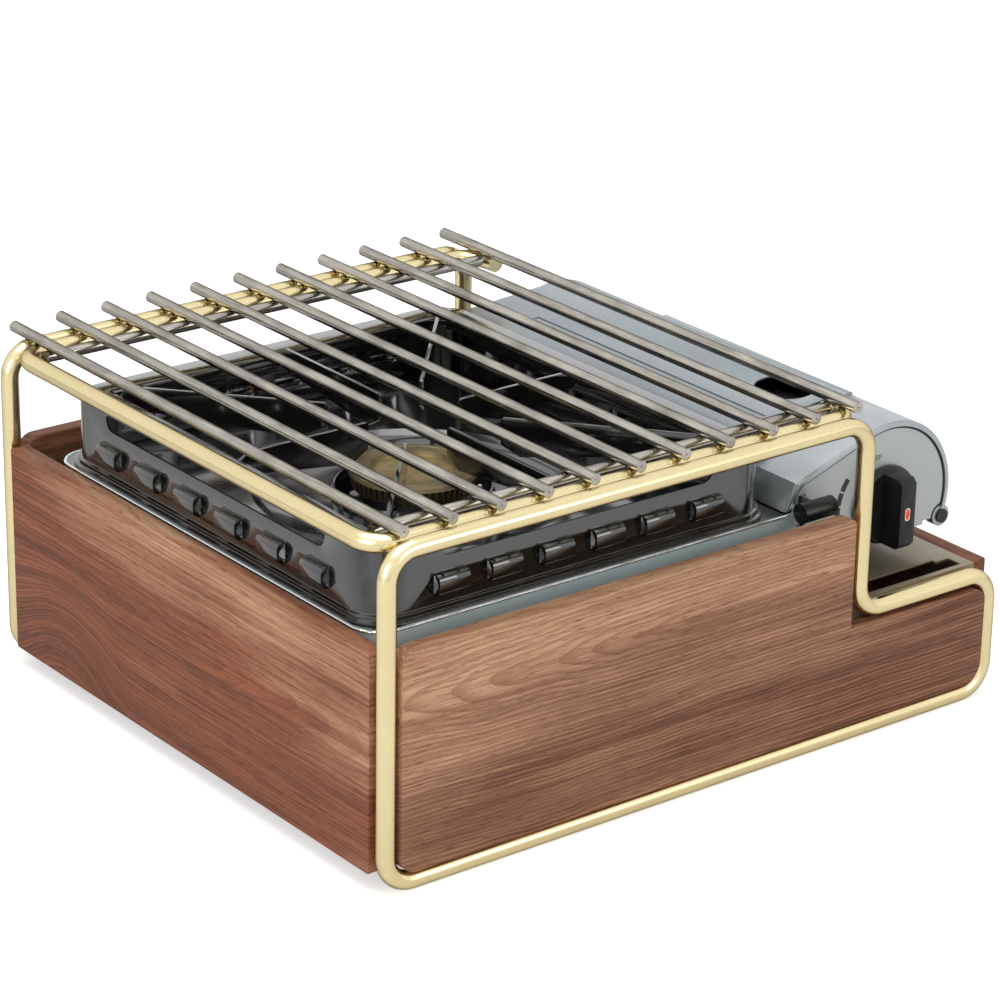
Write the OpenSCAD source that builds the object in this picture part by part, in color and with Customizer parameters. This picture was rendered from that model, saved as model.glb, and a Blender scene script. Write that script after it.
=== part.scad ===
// Flat butane cassette stove standing in a stepped wire and walnut serving stand.
// Millimetres. +X runs along the long front side, +Y to the back, +Z up.
// Inside the modules X is counted from the left legs, Y from the front loop and
// Z from the floor; place() moves the whole to the middle of its footprint.

/* [Stand] */
// Length of the stand over its bars
stand_len = 395.5; // [380:1:440]
// Free height between the lid's crest and the bars above it
lid_clear = 13.5; // [12:0.5:30]
// Height of the low step, to the top of its bars
step_h = 74.5; // [66:0.5:75]
// Length of the tall part over its bars
tall_len = 303.5; // [300:0.5:312]
// Diameter of the bent bar
bar_d = 9.5; // [8:0.5:10]
// Radius of the bar's bends, at its centre line
bend_r = 15; // [12:1:24]
// Play left between pieces of one fixed assembly
seat_gap = 0.2; // [0.1:0.05:0.3]

/* [Panels] */
// Thickness of the walnut boards
panel_t = 9.5; // [8:0.5:10]
// Gap between a board's edge and the bar beside it
panel_gap = 1; // [0.8:0.1:3]
// Gap between the tall part of a board and the step's leg
panel_step_gap = 3.3; // [2:0.1:8]
// Height of the front and rear boards above the floor
panel_top = 124; // [110:1:128]
// Height of the left board above the floor
side_top = 122.3; // [110:0.5:128]
// Radius of a board's rounded corners
panel_r = 9; // [4:1:14]
// Width of a welded lug
lug_w = 16; // [12:1:20]
// Thickness of a welded lug
lug_t = 1.5; // [1:0.1:2]

/* [Shelf] */
// Thickness of the shelf's sheet
shelf_t = 1.2; // [1:0.1:2]
// Depth of the shelf's folded edges
shelf_flange = 18; // [12:1:26]
// Distance of the shelf's top below the top of the step bars
shelf_drop = 0.5; // [0.5:0.1:3]
// Width of the long slot along the shelf's front edge
slot_w = 12; // [8:1:16]
// Length of that slot
slot_len = 112; // [80:1:150]

/* [Grate] */
// Number of rods
rod_count = 11; // [7:1:13]
// Diameter of the rods and cross bars
rod_d = 6; // [5:0.5:6]
// Distance of the rods' front ends behind the front loop's face
rod_front_inset = 6.75; // [2:0.25:9]
// How far the rods stand out behind the rear loop
rod_back_overhang = 7.75; // [0:0.25:12]
// Distance between neighbouring rods
rod_pitch = 27.8; // [20:0.1:28]
// Distance of the cross bars from the ring's bars
cross_inset = 6; // [3:1:20]

/* [Stove body] */
// Distance of the stove from the left board
stove_clear = 4.25; // [3:0.25:8]
// Distance of the stove from the front board
stove_front_clear = 20.25; // [18:0.25:24]
// Distance of the stove from the rear board
stove_rear_clear = 22.25; // [18:0.25:60]
// Length of the chassis up to the heat partition
chassis_len = 264; // [260:1:266]
// Depth of the chassis
chassis_depth = 280; // [272:1:281]
// Height of the chassis walls
chassis_h = 40; // [36:1:42]
// Thickness of the stove's sheet metal
sheet_t = 1; // [0.8:0.1:1.2]
// Height of the rubber feet
foot_h = 7; // [5:0.5:8]
// Radius of the chassis corners
chassis_r = 16; // [10:1:20]

/* [Pan support] */
// Distance of the enamelled skirt from the chassis' left, front and rear walls
skirt_inset = 5; // [4.5:0.5:8]
// Distance of the skirt from the chassis' right wall
skirt_right_inset = 14; // [12:0.5:20]
// Height of the skirt from its base flange to its rim
skirt_h = 37; // [35:0.5:38]
// Radius of the skirt's corners
skirt_r = 20; // [14:1:24]
// Thickness of the enamelled sheet
skirt_t = 1.2; // [1:0.1:1.6]
// Number of louvres on each wall
louvre_count = 6; // [3:1:6]
// Length of one louvre
louvre_len = 18; // [16:1:24]
// Height of one louvre
louvre_h = 11; // [8:0.5:12]
// How far a louvre stands out
louvre_out = 4.8; // [3:0.1:5]
// Height of the long windows under the rim
window_h = 8; // [6:0.5:10]
// Width of the rim round the top opening
rim_w = 17; // [12:1:24]
// Height of a finger's tip above the rim
finger_rise = 4; // [2:0.1:5]

/* [Burner] */
// Diameter of the burner cap
burner_d = 66; // [56:1:72]
// Height of the burner cap
burner_cap_h = 11; // [9:0.5:13]
// Number of flame slots in the cap's rim
flame_slots = 56; // [18:1:72]
// Diameter of the mixing tube
tube_d = 18; // [14:1:20]

/* [Cartridge bay] */
// Diameter of the gas cartridge
can_d = 68; // [64:0.5:69]
// Length of the cartridge's body
can_len = 176; // [160:1:178]
// Height of the cartridge's axis above the shelf
can_axis_up = 36.5; // [36.5:0.1:38]
// Distance from the heat partition to the cartridge's axis
can_axis_right = 64.5; // [62:0.5:66]
// Outer radius of the lid and the regulator cover
hood_r = 44; // [43:0.5:46]
// Width of the rolled edge round the fascia
hood_edge = 4; // [3.5:0.5:6]
// Depth of the regulator cover, front to back
cover_depth = 44; // [40:1:50]
// Slope of the cover's left flank
flank_slope = 18.6; // [12:0.2:22]
// Height of the hinge axis below the cartridge's axis
hinge_drop = 16.8; // [12:0.2:20]
// Diameter of the hinge pin
hinge_pin_d = 5; // [4:0.5:5]
// Radial clearance of a turning or sliding round fit
pin_play = 0.06; // [0.03:0.01:0.1]

/* [Controls] */
// Diameter of the knob's base
knob_d = 42; // [36:1:44]
// Length of the knob's grip bar
grip_len = 38; // [30:1:40]
// Width of the knob's grip bar
grip_w = 10.2; // [6:0.2:12]
// How far the knob stands out of the fascia
knob_out = 19; // [14:0.5:20]
// Diameter of the lever's round grip
lever_grip_d = 10.5; // [8:0.5:11]
// Length of the lever's round grip
lever_grip_len = 21; // [18:1:26]
// Length of the lever from its pivot to its grip
lever_len = 48; // [47:0.5:50]

/* [Hidden] */
$fn = 48;
eps = 0.01;
// Longer than any piece, for shapes that cut away a whole side
far = 200;

// Stand: axes of the bars
bar_r = bar_d / 2;
board_room = 2 * (panel_t - bar_r);
stand_depth = board_room + stove_front_clear + chassis_depth + stove_rear_clear + bar_d;
stand_h = step_h - shelf_drop + can_axis_up + hood_r + lid_clear + bar_d;
right_x = stand_len - bar_d;
step_x = tall_len - bar_d;
back_y = stand_depth - bar_d;
bottom_z = bar_r;
top_z = stand_h - bar_r;
step_z = step_h - bar_r;
ring_touch = 0.1;
// The ring is open at the right, above the lid, but for two short returns
ring_return = 5;
ring_front_y = bar_d + ring_touch;
ring_back_y = back_y - bar_d - ring_touch;

// Boards: faces and edges
face_y = -bar_r;
panel_back_y = face_y + panel_t;
board_left = bar_r + panel_gap;
board_right = right_x - bar_r - panel_gap;
board_bottom = bar_d + panel_gap;
board_step_top = step_h - bar_d - panel_gap;
board_tall_right = step_x - bar_r - panel_step_gap;
side_front_y = panel_back_y + lug_t + 0.5;
side_back_y = back_y - side_front_y;
left_inner_x = -bar_r + panel_t;
right_inner_x = right_x + bar_r - panel_t;
shelf_top = step_h - shelf_drop;
right_top = shelf_top - 0.3;

// Screws that hold the boards
screw_d = 3.5;
screw_head_d = 7;
screw_head_h = 2.2;
screw_len = 7.5;
lug_reach = 22;
lug_low_z = 34;
lug_high_z = 104;

// Shelf
shelf_x0 = left_inner_x + seat_gap;
shelf_x1 = right_inner_x - seat_gap;
shelf_y0 = panel_back_y + seat_gap;
shelf_y1 = back_y - panel_back_y - seat_gap;
slot_right = shelf_x1 - 7;
slot_y = shelf_y0 + 3.2;

// Grate
rod_z = stand_h + rod_d / 2 + ring_touch;
cross_z = rod_z - rod_d;
rod_x0 = (step_x - (rod_count - 1) * rod_pitch) / 2 + 3;
rod_y0 = face_y + rod_front_inset;
rod_len = back_y + bar_r + rod_back_overhang - rod_y0;
cross_y0 = ring_front_y + bar_r + cross_inset + rod_d / 2;
cross_y1 = ring_back_y - bar_r - cross_inset - rod_d / 2;
cross_x0 = rod_x0 - 3;
cross_end_play = 1.6;
cross_x1 = step_x - bar_r - cross_end_play;

// Stove: chassis box
foot_gap = 0.1;
stove_x = left_inner_x + stove_clear;
stove_y = panel_back_y + stove_front_clear;
chassis_z = shelf_top + foot_gap + foot_h;
chassis_top = chassis_z + chassis_h;
chassis_right = stove_x + chassis_len;
chassis_back = stove_y + chassis_depth;

// Pan support
skirt_len = chassis_len - skirt_inset - skirt_right_inset;
skirt_depth = chassis_depth - 2 * skirt_inset;
skirt_x = stove_x + skirt_inset;
skirt_y = stove_y + skirt_inset;
skirt_z = chassis_top;
skirt_right = skirt_x + skirt_len;
skirt_back = skirt_y + skirt_depth;
rim_z = skirt_z + skirt_h;
window_z = rim_z - window_h - 1.6;
window_margin = 39;
louvre_z = skirt_z + 14.5;
// Room left between the first louvre's share of a wall and the wall's corner
louvre_margin_x = 8.5;
louvre_margin_y = 6;
lip_r = 12;
lip_x = skirt_len / 2 - rim_w - lip_r;
lip_y = skirt_depth / 2 - rim_w - lip_r;
flange_w = 4;
flange_h = 1.6;
centre_x = skirt_x + skirt_len / 2;
centre_y = skirt_y + skirt_depth / 2;

drip_t = 0.8;
drip_z = chassis_top - drip_t - 0.2;
drip_sink = 4;

// Burner
burner_top = skirt_z + 11;
burner_z = burner_top - burner_cap_h;
tube_z = chassis_z + 22;

// Cartridge bay
can_r = can_d / 2;
can_x = chassis_right + can_axis_right;
can_z = shelf_top + can_axis_up;
cradle_r = can_r + 0.6;
cradle_t = 0.8;
cover_y0 = stove_y + 3;
cover_y1 = cover_y0 + cover_depth;
lid_y0 = cover_y1 + 1;
lid_y1 = chassis_back - 3;
hood_t = 1;
hinge_z = can_z - hinge_drop;
hinge_r = hood_r - 0.6;
hinge_x = can_x + sqrt(hinge_r * hinge_r - hinge_drop * hinge_drop);
barrel_r = hinge_pin_d / 2 + 1.6;
eye_d = 2 * barrel_r + 3.4;
pin_head_d = hinge_pin_d + 2.6;
pin_head_h = 1.2;
bead_out = 1;
bead_w = 2.2;
can_y0 = cover_y1 + 13;
can_y1 = can_y0 + can_len;
lid_flat_slope = 4;
// The cover's left flank leans outwards from its fold down to the chassis wall
cover_left = chassis_right + 0.5;
cover_splay = 7.5;
cover_foot_z = chassis_top + 0.5;
fascia_left = chassis_right + 1;
part_top = lid_flat_z(hood_r - hood_t, chassis_right + 0.7) - 0.3;

// Controls
fascia_y = cover_y0;
fascia_t = 1.2;
fascia_r = hood_r - hood_edge;
knob_gap = 0.4;
knob_x = can_x - 3;
shaft_d = 6;
press_play = 0.02;
pointer_w = 3.4;
pointer_h = 7;
pivot_y = cover_y0 + 36;
grip_y = pivot_y - lever_len;
lever_x = chassis_right + 4.5;
lever_z = can_z + 14;
lever_t = 1.5;
lever_w = 6;
grip_lead = 11;
socket_r = 9;

// Height of the hood's sloping left flank at x, for an arch of radius r
function flank_z(r, x) =
    can_z + r * cos(flank_slope) + (x - (can_x - r * sin(flank_slope))) * tan(flank_slope);

module place() {
    translate([-right_x / 2, -(rod_y0 + rod_len - bar_r) / 2, 0]) children();
}

// ---------- general shapes ----------

// Cylinder from a to a + length along X
module rod_along_x(a, d, length) {
    translate(a) rotate([0, 90, 0]) cylinder(d = d, h = length);
}

// Cylinder from a to a + length along Y
module rod_along_y(a, d, length) {
    translate(a) rotate([-90, 0, 0]) cylinder(d = d, h = length);
}

// Quarter bend of a bar: centre c, from angle a over 90 degrees, in the XY plane
module quarter_bend(c, a, r, d) {
    translate(c) rotate([0, 0, a]) rotate_extrude(angle = 90) translate([r, 0]) circle(d = d);
}

// Rectangle with four corner radii: front left, front right, back right, back left
module round_rect(x0, y0, x1, y1, r) {
    difference() {
        translate([x0, y0]) square([x1 - x0, y1 - y0]);
        corner_cut(x0, y0, r[0], 0);
        corner_cut(x1, y0, r[1], 90);
        corner_cut(x1, y1, r[2], 180);
        corner_cut(x0, y1, r[3], 270);
    }
}

// What a rounded corner takes away
module corner_cut(x, y, r, turn) {
    if (r > 0) {
        translate([x, y]) rotate(turn) difference() {
            translate([-1, -1]) square(r + 1);
            translate([r, r]) circle(r = r);
        }
    }
}

// Ring between two rounded rectangles
module round_frame(x0, y0, x1, y1, r, w) {
    difference() {
        round_rect(x0, y0, x1, y1, [r, r, r, r]);
        round_rect(x0 + w, y0 + w, x1 - w, y1 - w, [r - w, r - w, r - w, r - w]);
    }
}

// Outline in the XZ plane given thickness t along Y, from y
module along_y(y, t) {
    translate([0, y + t, 0]) rotate([90, 0, 0]) linear_extrude(t) children();
}

// Outline in the YZ plane given thickness t along X, from x
module along_x(x, t) {
    translate([x, 0, 0]) rotate([90, 0, 90]) linear_extrude(t) children();
}

// ---------- stand ----------

// One stepped loop of round bar in the XZ plane, drawn in XY and stood up
module stepped_loop() {
    r = bend_r;
    rotate([90, 0, 0]) {
        // bottom, right leg, step, step leg, top and left leg
        rod_along_x([r, bottom_z, 0], bar_d, right_x - 2 * r);
        rod_along_y([right_x, bottom_z + r, 0], bar_d, step_z - bottom_z - 2 * r);
        rod_along_x([step_x + r, step_z, 0], bar_d, right_x - step_x - 2 * r);
        rod_along_y([step_x, step_z + r, 0], bar_d, top_z - step_z - 2 * r);
        rod_along_x([r, top_z, 0], bar_d, step_x - 2 * r);
        rod_along_y([0, bottom_z + r, 0], bar_d, top_z - bottom_z - 2 * r);
        quarter_bend([r, bottom_z + r, 0], 180, r, bar_d);
        quarter_bend([right_x - r, bottom_z + r, 0], 270, r, bar_d);
        quarter_bend([right_x - r, step_z - r, 0], 0, r, bar_d);
        quarter_bend([step_x + r, step_z + r, 0], 180, r, bar_d);
        quarter_bend([step_x - r, top_z - r, 0], 0, r, bar_d);
        quarter_bend([r, top_z - r, 0], 90, r, bar_d);
    }
}

// Lug welded to a leg at x, reaching along side (1 or -1), with a screw hole
module lug(x, z, side) {
    translate([x, 0, z]) mirror([side < 0 ? 1 : 0, 0, 0]) difference() {
        union() {
            translate([1, panel_back_y, -lug_w / 2]) cube([lug_reach - 1, lug_t, lug_w]);
            translate([1, 1, -lug_w / 2]) cube([bar_r - 1, panel_back_y + lug_t - 1, lug_w]);
        }
        rod_along_y([lug_reach - 7, panel_back_y - 1, 0], screw_d + 0.5, lug_t + 2);
    }
}

module loop_with_lugs() {
    stepped_loop();
    lug(0, lug_low_z, 1);
    lug(0, lug_high_z, 1);
    lug(step_x, lug_high_z, -1);
    lug(right_x, lug_low_z, -1);
}

module front_wire_frame() {
    color([0.88, 0.78, 0.47]) loop_with_lugs();
}

module rear_wire_frame() {
    color([0.88, 0.78, 0.47]) translate([0, back_y, 0]) mirror([0, 1, 0]) loop_with_lugs();
}

module top_ring() {
    r = bend_r;
    y0 = ring_front_y;
    y1 = ring_back_y;
    color([0.88, 0.78, 0.47]) translate([0, 0, top_z]) {
        rod_along_x([r, y0, 0], bar_d, step_x - 2 * r);
        rod_along_x([r, y1, 0], bar_d, step_x - 2 * r);
        rod_along_y([0, y0 + r, 0], bar_d, y1 - y0 - 2 * r);
        rod_along_y([step_x, y0 + r, 0], bar_d, ring_return);
        rod_along_y([step_x, y1 - r - ring_return, 0], bar_d, ring_return);
        quarter_bend([r, y0 + r, 0], 180, r, bar_d);
        quarter_bend([step_x - r, y0 + r, 0], 270, r, bar_d);
        quarter_bend([step_x - r, y1 - r, 0], 0, r, bar_d);
        quarter_bend([r, y1 - r, 0], 90, r, bar_d);
    }
}

// Stepped outline of the front and rear boards, in XZ
module stepped_outline() {
    union() {
        round_rect(board_left, board_bottom, board_tall_right, panel_top,
            [panel_r, 0, 3, panel_r]);
        round_rect(board_tall_right - 1, board_bottom, board_right, board_step_top,
            [0, panel_r + 2, panel_r - 1, 0]);
    }
}

// Pilot hole in the back of a board for the screw at x, z
module pilot(x, z) {
    rod_along_y([x, panel_back_y - screw_len + lug_t, z], screw_d + 2 * pin_play,
        screw_len);
}

module stepped_board() {
    difference() {
        along_y(face_y, panel_t) stepped_outline();
        pilot(lug_reach - 7, lug_low_z);
        pilot(lug_reach - 7, lug_high_z);
        pilot(step_x - lug_reach + 7, lug_high_z);
        pilot(right_x - lug_reach + 7, lug_low_z);
    }
}

module front_panel() {
    color([0.5, 0.34, 0.25]) stepped_board();
}

module rear_panel() {
    color([0.5, 0.34, 0.25]) translate([0, back_y, 0]) mirror([0, 1, 0]) stepped_board();
}

// Board between the loops from x to x + panel_t, up to height top
module side_board(x, top) {
    along_x(x, panel_t)
        round_rect(side_front_y, board_bottom - 0.8, side_back_y, top, [1, 1, 1, 1]);
}

side_screw_y = [60, back_y - 60];
side_screw_z = shelf_top - shelf_flange / 2 - 1;

module left_panel() {
    color([0.55, 0.36, 0.26]) difference() {
        side_board(-bar_r, side_top);
        for (y = side_screw_y)
            rod_along_x([left_inner_x - screw_len + shelf_t + seat_gap, y, side_screw_z],
                screw_d + 2 * pin_play, screw_len);
    }
}

module right_panel() {
    color([0.42, 0.28, 0.22]) difference() {
        side_board(right_inner_x, right_top);
        for (y = side_screw_y)
            rod_along_x([right_inner_x - 1, y, side_screw_z],
                screw_d + 2 * pin_play, screw_len - shelf_t - seat_gap + 1);
    }
}

// Folded tray that the stove stands on, with a long slot near its front edge
module stove_shelf() {
    inner = shelf_t;
    color([0.6, 0.54, 0.4]) difference() {
        translate([shelf_x0, shelf_y0, shelf_top - shelf_flange])
            cube([shelf_x1 - shelf_x0, shelf_y1 - shelf_y0, shelf_flange]);
        translate([shelf_x0 + inner, shelf_y0 + inner, shelf_top - shelf_flange - 1])
            cube([shelf_x1 - shelf_x0 - 2 * inner, shelf_y1 - shelf_y0 - 2 * inner,
                shelf_flange + 1 - shelf_t]);
        // slot with a narrower notch at its right end
        translate([slot_right - slot_len, slot_y, shelf_top - 5])
            cube([slot_len - 9, slot_w, 10]);
        translate([slot_right - 10, slot_y, shelf_top - 5]) cube([10, slot_w - 3, 10]);
        for (y = side_screw_y) {
            rod_along_x([shelf_x0 - 1, y, side_screw_z], screw_d + 0.5, inner + 2);
            rod_along_x([shelf_x1 - inner - 1, y, side_screw_z], screw_d + 0.5, inner + 2);
        }
    }
}

// Pan-head screw: head on the plane y = 0, shank along -Y
module wood_screw() {
    rod_along_y([0, 0, 0], screw_head_d, screw_head_h);
    rod_along_y([0, -screw_len + lug_t + 0.5, 0], screw_d, screw_len - lug_t - 0.5);
}

module board_screws() {
    y = panel_back_y + lug_t;
    for (p = [[lug_reach - 7, lug_low_z], [lug_reach - 7, lug_high_z],
            [step_x - lug_reach + 7, lug_high_z], [right_x - lug_reach + 7, lug_low_z]])
        translate([p[0], y, p[1]]) wood_screw();
}

module panel_screws() {
    color([0.7, 0.7, 0.7]) {
        board_screws();
        translate([0, back_y, 0]) mirror([0, 1, 0]) board_screws();
        for (y = side_screw_y) {
            translate([shelf_x0 + shelf_t, y, side_screw_z]) rotate([0, 0, -90]) wood_screw();
            translate([shelf_x1 - shelf_t, y, side_screw_z]) rotate([0, 0, 90]) wood_screw();
        }
    }
}

// ---------- grate ----------

module grate_rods() {
    color([0.66, 0.67, 0.66]) for (i = [0 : rod_count - 1])
        rod_along_y([rod_x0 + i * rod_pitch, rod_y0, rod_z], rod_d, rod_len);
}

module grate_cross_bars() {
    color([0.72, 0.73, 0.72]) for (y = [cross_y0, cross_y1])
        rod_along_x([cross_x0, y, cross_z], rod_d, cross_x1 - cross_x0);
}

// ---------- stove body ----------

// Rounded tray outline of the chassis; its right end is square
module chassis_outline(inset) {
    r = chassis_r - inset;
    round_rect(stove_x + inset, stove_y + inset, chassis_right - inset,
        chassis_back - inset, [r, 2, 2, r]);
}

boss_xy = [[-1, -1], [1, -1], [1, 1], [-1, 1]];
burner_screw_r = burner_d / 2 - 13;

module chassis() {
    color([0.47, 0.52, 0.54]) difference() {
        union() {
            translate([0, 0, chassis_z]) linear_extrude(chassis_h) chassis_outline(0);
            // base plate under the front and the back of the cartridge bay
            translate([chassis_right - 1, stove_y + 4, chassis_z])
                cube([can_axis_right - 26, 36, sheet_t]);
            translate([chassis_right - 1, chassis_back - 34, chassis_z])
                cube([can_axis_right - 26, 30, sheet_t]);
        }
        translate([0, 0, chassis_z + sheet_t]) linear_extrude(chassis_h)
            chassis_outline(sheet_t);
        // opening for the mixing tube in the right wall
        translate([chassis_right - 3, mix_cross_y - 22, tube_z - tube_d / 2 - 3])
            cube([6, 44, tube_d + 6]);
        // vent slots in the floor under the burner
        for (i = [-1 : 1])
            translate([centre_x - 30, centre_y + i * 12 - 2.5, chassis_z - 1])
                cube([60, 5, sheet_t + 2]);
        foot_holes();
        for (p = boss_xy)
            translate([centre_x + p[0] * burner_screw_r, centre_y + p[1] * burner_screw_r,
                chassis_z - 1]) cylinder(d = 3.6, h = sheet_t + 2);
    }
    // ledges that carry the drip pan
    color([0.47, 0.52, 0.54]) for (f = [0.2, 0.8]) {
        ledge(stove_x + f * chassis_len, stove_y, 0);
        ledge(stove_x + f * chassis_len, chassis_back, 180);
        ledge(stove_x, stove_y + f * chassis_depth, -90);
    }
    color([0.47, 0.52, 0.54]) for (f = [0.4, 0.8])
        ledge(chassis_right, stove_y + f * chassis_depth, 90);
}

// Small ledge inside the wall at x, y, reaching inwards
module ledge(x, y, a) {
    translate([x, y, drip_z - 1.2]) rotate([0, 0, a]) translate([-8, sheet_t - 0.1, 0])
        cube([16, 6, 1]);
}

foot_inset = 26;
foot_spots = [
    [stove_x + foot_inset, stove_y + foot_inset],
    [chassis_right - foot_inset, stove_y + foot_inset],
    [chassis_right - foot_inset, chassis_back - foot_inset],
    [stove_x + foot_inset, chassis_back - foot_inset]
];

module foot_holes() {
    for (p = foot_spots)
        translate([p[0], p[1], chassis_z - 1]) cylinder(d = 6, h = sheet_t + 2);
}

// Rubber foot with a stem and a button that snaps above the floor sheet
module chassis_feet() {
    color([0.12, 0.12, 0.12]) for (p = foot_spots) translate([p[0], p[1], 0]) {
        translate([0, 0, chassis_z - foot_h]) cylinder(d1 = 15, d2 = 18, h = foot_h);
        translate([0, 0, chassis_z - eps]) cylinder(d = 5.8, h = sheet_t + 0.1);
        translate([0, 0, chassis_z + sheet_t + 0.05]) cylinder(d1 = 9, d2 = 5, h = 2.5);
    }
}

module heat_partition() {
    x = chassis_right + seat_gap;
    foot_z = chassis_z + sheet_t;
    color([0.42, 0.46, 0.5]) difference() {
        union() {
            translate([x, cover_y0 + 3, foot_z])
                cube([sheet_t, cover_depth - 3,
                    flank_z(hood_r - hood_t, chassis_right) - 3.4 - foot_z]);
            translate([x, cover_y1, foot_z])
                cube([sheet_t, chassis_back - 3.5 - cover_y1, part_top - foot_z]);
        }
        translate([x - 1, mix_cross_y - 22, tube_z - tube_d / 2 - 3])
            cube([3, 44, tube_d + 6]);
    }
}

// Arc-shaped sheet about the cartridge's axis in XZ: angles a0 to a1 from +X
module arc_sheet(r, t, a0, a1) {
    translate([can_x, can_z]) rotate(a0) pie_ring(r, t, a1 - a0);
}

module pie_ring(r, t, a) {
    steps = ceil(a / 90);
    intersection() {
        difference() {
            circle(r = r + t);
            circle(r = r);
        }
        polygon(concat([[0, 0]],
            [for (i = [0 : steps]) 2 * (r + t) * [cos(a * i / steps), sin(a * i / steps)]]));
    }
}

cradle_left_a = 180;
cradle_right_a = 360 - asin((hinge_drop + 2) / cradle_r);

// Curved cradle under the cartridge, with a ledge to the partition and an
// upright to the hinge barrels
module cartridge_bay() {
    y0 = cover_y1 + 2;
    y1 = chassis_back - 5;
    ledge_x = chassis_right + seat_gap + sheet_t + seat_gap;
    arc_x = can_x - cradle_r - cradle_t;
    end_x = can_x + cradle_r * cos(cradle_right_a);
    color([0.6, 0.64, 0.66]) {
        difference() {
            along_y(y0, y1 - y0) union() {
                arc_sheet(cradle_r, cradle_t, cradle_left_a, cradle_right_a);
                translate([ledge_x, can_z - cradle_t]) square([arc_x - ledge_x + 0.4, cradle_t]);
                translate([ledge_x, can_z - 12]) square([cradle_t, 12]);
                translate([end_x - 0.2, hinge_z - 2 - cradle_t])
                    square([hinge_x - end_x - barrel_r + 1.4, cradle_t]);
            }
            // clear of the mixing tube and of the lid's knuckles
            translate([chassis_right, y0 - 1, can_z - 30])
                cube([can_x - cradle_r - 6 - chassis_right, 22, 40]);
            for (s = hinge_spans(0)) knuckle_room(s);
            knuckle_room([0, lid_y0]);
        }
        for (s = hinge_spans(1)) barrel(s[0], s[1]);
    }
}

// Room round one knuckle of the other leaf
module knuckle_room(s) {
    rod_along_y([hinge_x, s[0] - 0.3, hinge_z], 2 * barrel_r + 1, s[1] - s[0] + 0.6);
}

// Stretches of the hinge: kind 1 belongs to the bay, kind 0 to the lid
function hinge_spans(kind) =
    let (n = 7, gap = 0.5, step = (lid_y1 - lid_y0) / n)
    [for (i = [0 : n - 1]) if (i % 2 == kind)
        [lid_y0 + i * step + gap / 2, lid_y0 + (i + 1) * step - gap / 2]];

module barrel(y0, y1) {
    difference() {
        rod_along_y([hinge_x, y0, hinge_z], 2 * barrel_r, y1 - y0);
        rod_along_y([hinge_x, y0 - 1, hinge_z], hinge_pin_d + 2 * pin_play, y1 - y0 + 2);
    }
}

// Outline of the space under the hood at one end of the bay
module bay_section(r) {
    union() {
        translate([can_x, can_z]) circle(r = r);
        polygon([
            [chassis_right + 1.4, can_z - 12],
            [can_x, can_z - 12],
            [can_x, can_z + r],
            [can_x - r * sin(flank_slope), can_z + r * cos(flank_slope)],
            [chassis_right + 1.4, flank_z(r, chassis_right + 1.4)]
        ]);
    }
}

bulkhead_y = cover_y1 - 2.2;
// Height of the bay's end walls above the shelf
shelf_play = 3;

module bay_bulkhead() {
    color([0.55, 0.58, 0.6]) difference() {
        along_y(bulkhead_y, sheet_t + 0.2) difference() {
            bay_section(hood_r - hood_t - 0.3);
            // clear of the shelf below and of the hinge at the right
            translate([can_x - far / 2, shelf_top - far]) square([far, far + shelf_play]);
            translate([hinge_x, hinge_z]) circle(r = barrel_r + 0.4);
            translate([hinge_x - 4, hinge_z - far]) square([far, far]);
        }
        rod_along_y([can_x, bulkhead_y - 1, can_z], 2 * regulator_r + 0.6, 4);
        // way through for the mixing tube and the carrier
        translate([chassis_right - 1, bulkhead_y - 1, tube_z - tube_d / 2 - 3])
            cube([35, 4, can_z + 12 - tube_z + tube_d / 2 + 3]);
    }
}

module bay_end_plate() {
    color([0.55, 0.58, 0.6]) along_y(lid_y1 + 0.4, sheet_t) difference() {
        union() {
            translate([can_x, can_z]) circle(r = hood_r);
            translate([chassis_right + 1.5, can_z - 30]) square([can_axis_right, part_top + 30 - can_z]);
        }
        translate([can_x - far / 2, shelf_top - far]) square([far, far + shelf_play]);
        translate([hinge_x, hinge_z]) circle(d = hinge_pin_d + 2 * pin_play);
        translate([can_x + 20, hinge_z - far]) square([far, far - barrel_r]);
        for (i = [-1 : 1])
            round_rect(can_x - 14, can_z + i * 14 - 3, can_x + 14, can_z + i * 14 + 3,
                [2.9, 2.9, 2.9, 2.9]);
    }
}

module drip_pan() {
    r = 84;
    inner = burner_d / 2 + 7;
    color([0.1, 0.1, 0.1]) difference() {
        union() {
            translate([0, 0, drip_z]) linear_extrude(drip_t) difference() {
                chassis_outline(sheet_t + 0.3);
                translate([centre_x, centre_y]) circle(r = r - 1);
            }
            translate([centre_x, centre_y, drip_z]) rotate_extrude($fn = 96)
                polygon([[inner, 2.4], [inner + 0.9, 2.4], [inner + 3, -drip_sink + drip_t],
                    [r - 8, -drip_sink + drip_t], [r - 0.6, drip_t], [r, drip_t], [r, 0],
                    [r - 7.4, -drip_sink], [inner + 2.2, -drip_sink], [inner, 1.2]]);
        }
        // the right end is clear of the chassis wall's stiffening bend
        translate([chassis_right - 3, stove_y - 1, drip_z - 1])
            cube([10, chassis_depth + 2, 4]);
    }
}

// ---------- pan support ----------

// Arched bridge pressed out of a wall: the wall is the plane y = 0, outwards is -Y
module louvre() {
    difference() {
        translate([-louvre_len / 2, -louvre_out, -louvre_h / 2])
            louvre_bar(louvre_len, louvre_out + 0.2, louvre_h);
        translate([-louvre_len / 2 - 1, -louvre_out + skirt_t, -louvre_h / 2 + skirt_t])
            louvre_bar(louvre_len + 2, louvre_out + 3, louvre_h - 2 * skirt_t);
    }
}

// Bar along X whose outer long edges are rounded
module louvre_bar(length, depth, height) {
    translate([length, 0, 0]) rotate([0, -90, 0]) linear_extrude(length)
        round_rect(0, 0, height, depth, [depth, depth, 0, 0] * 0.75);
}

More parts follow.
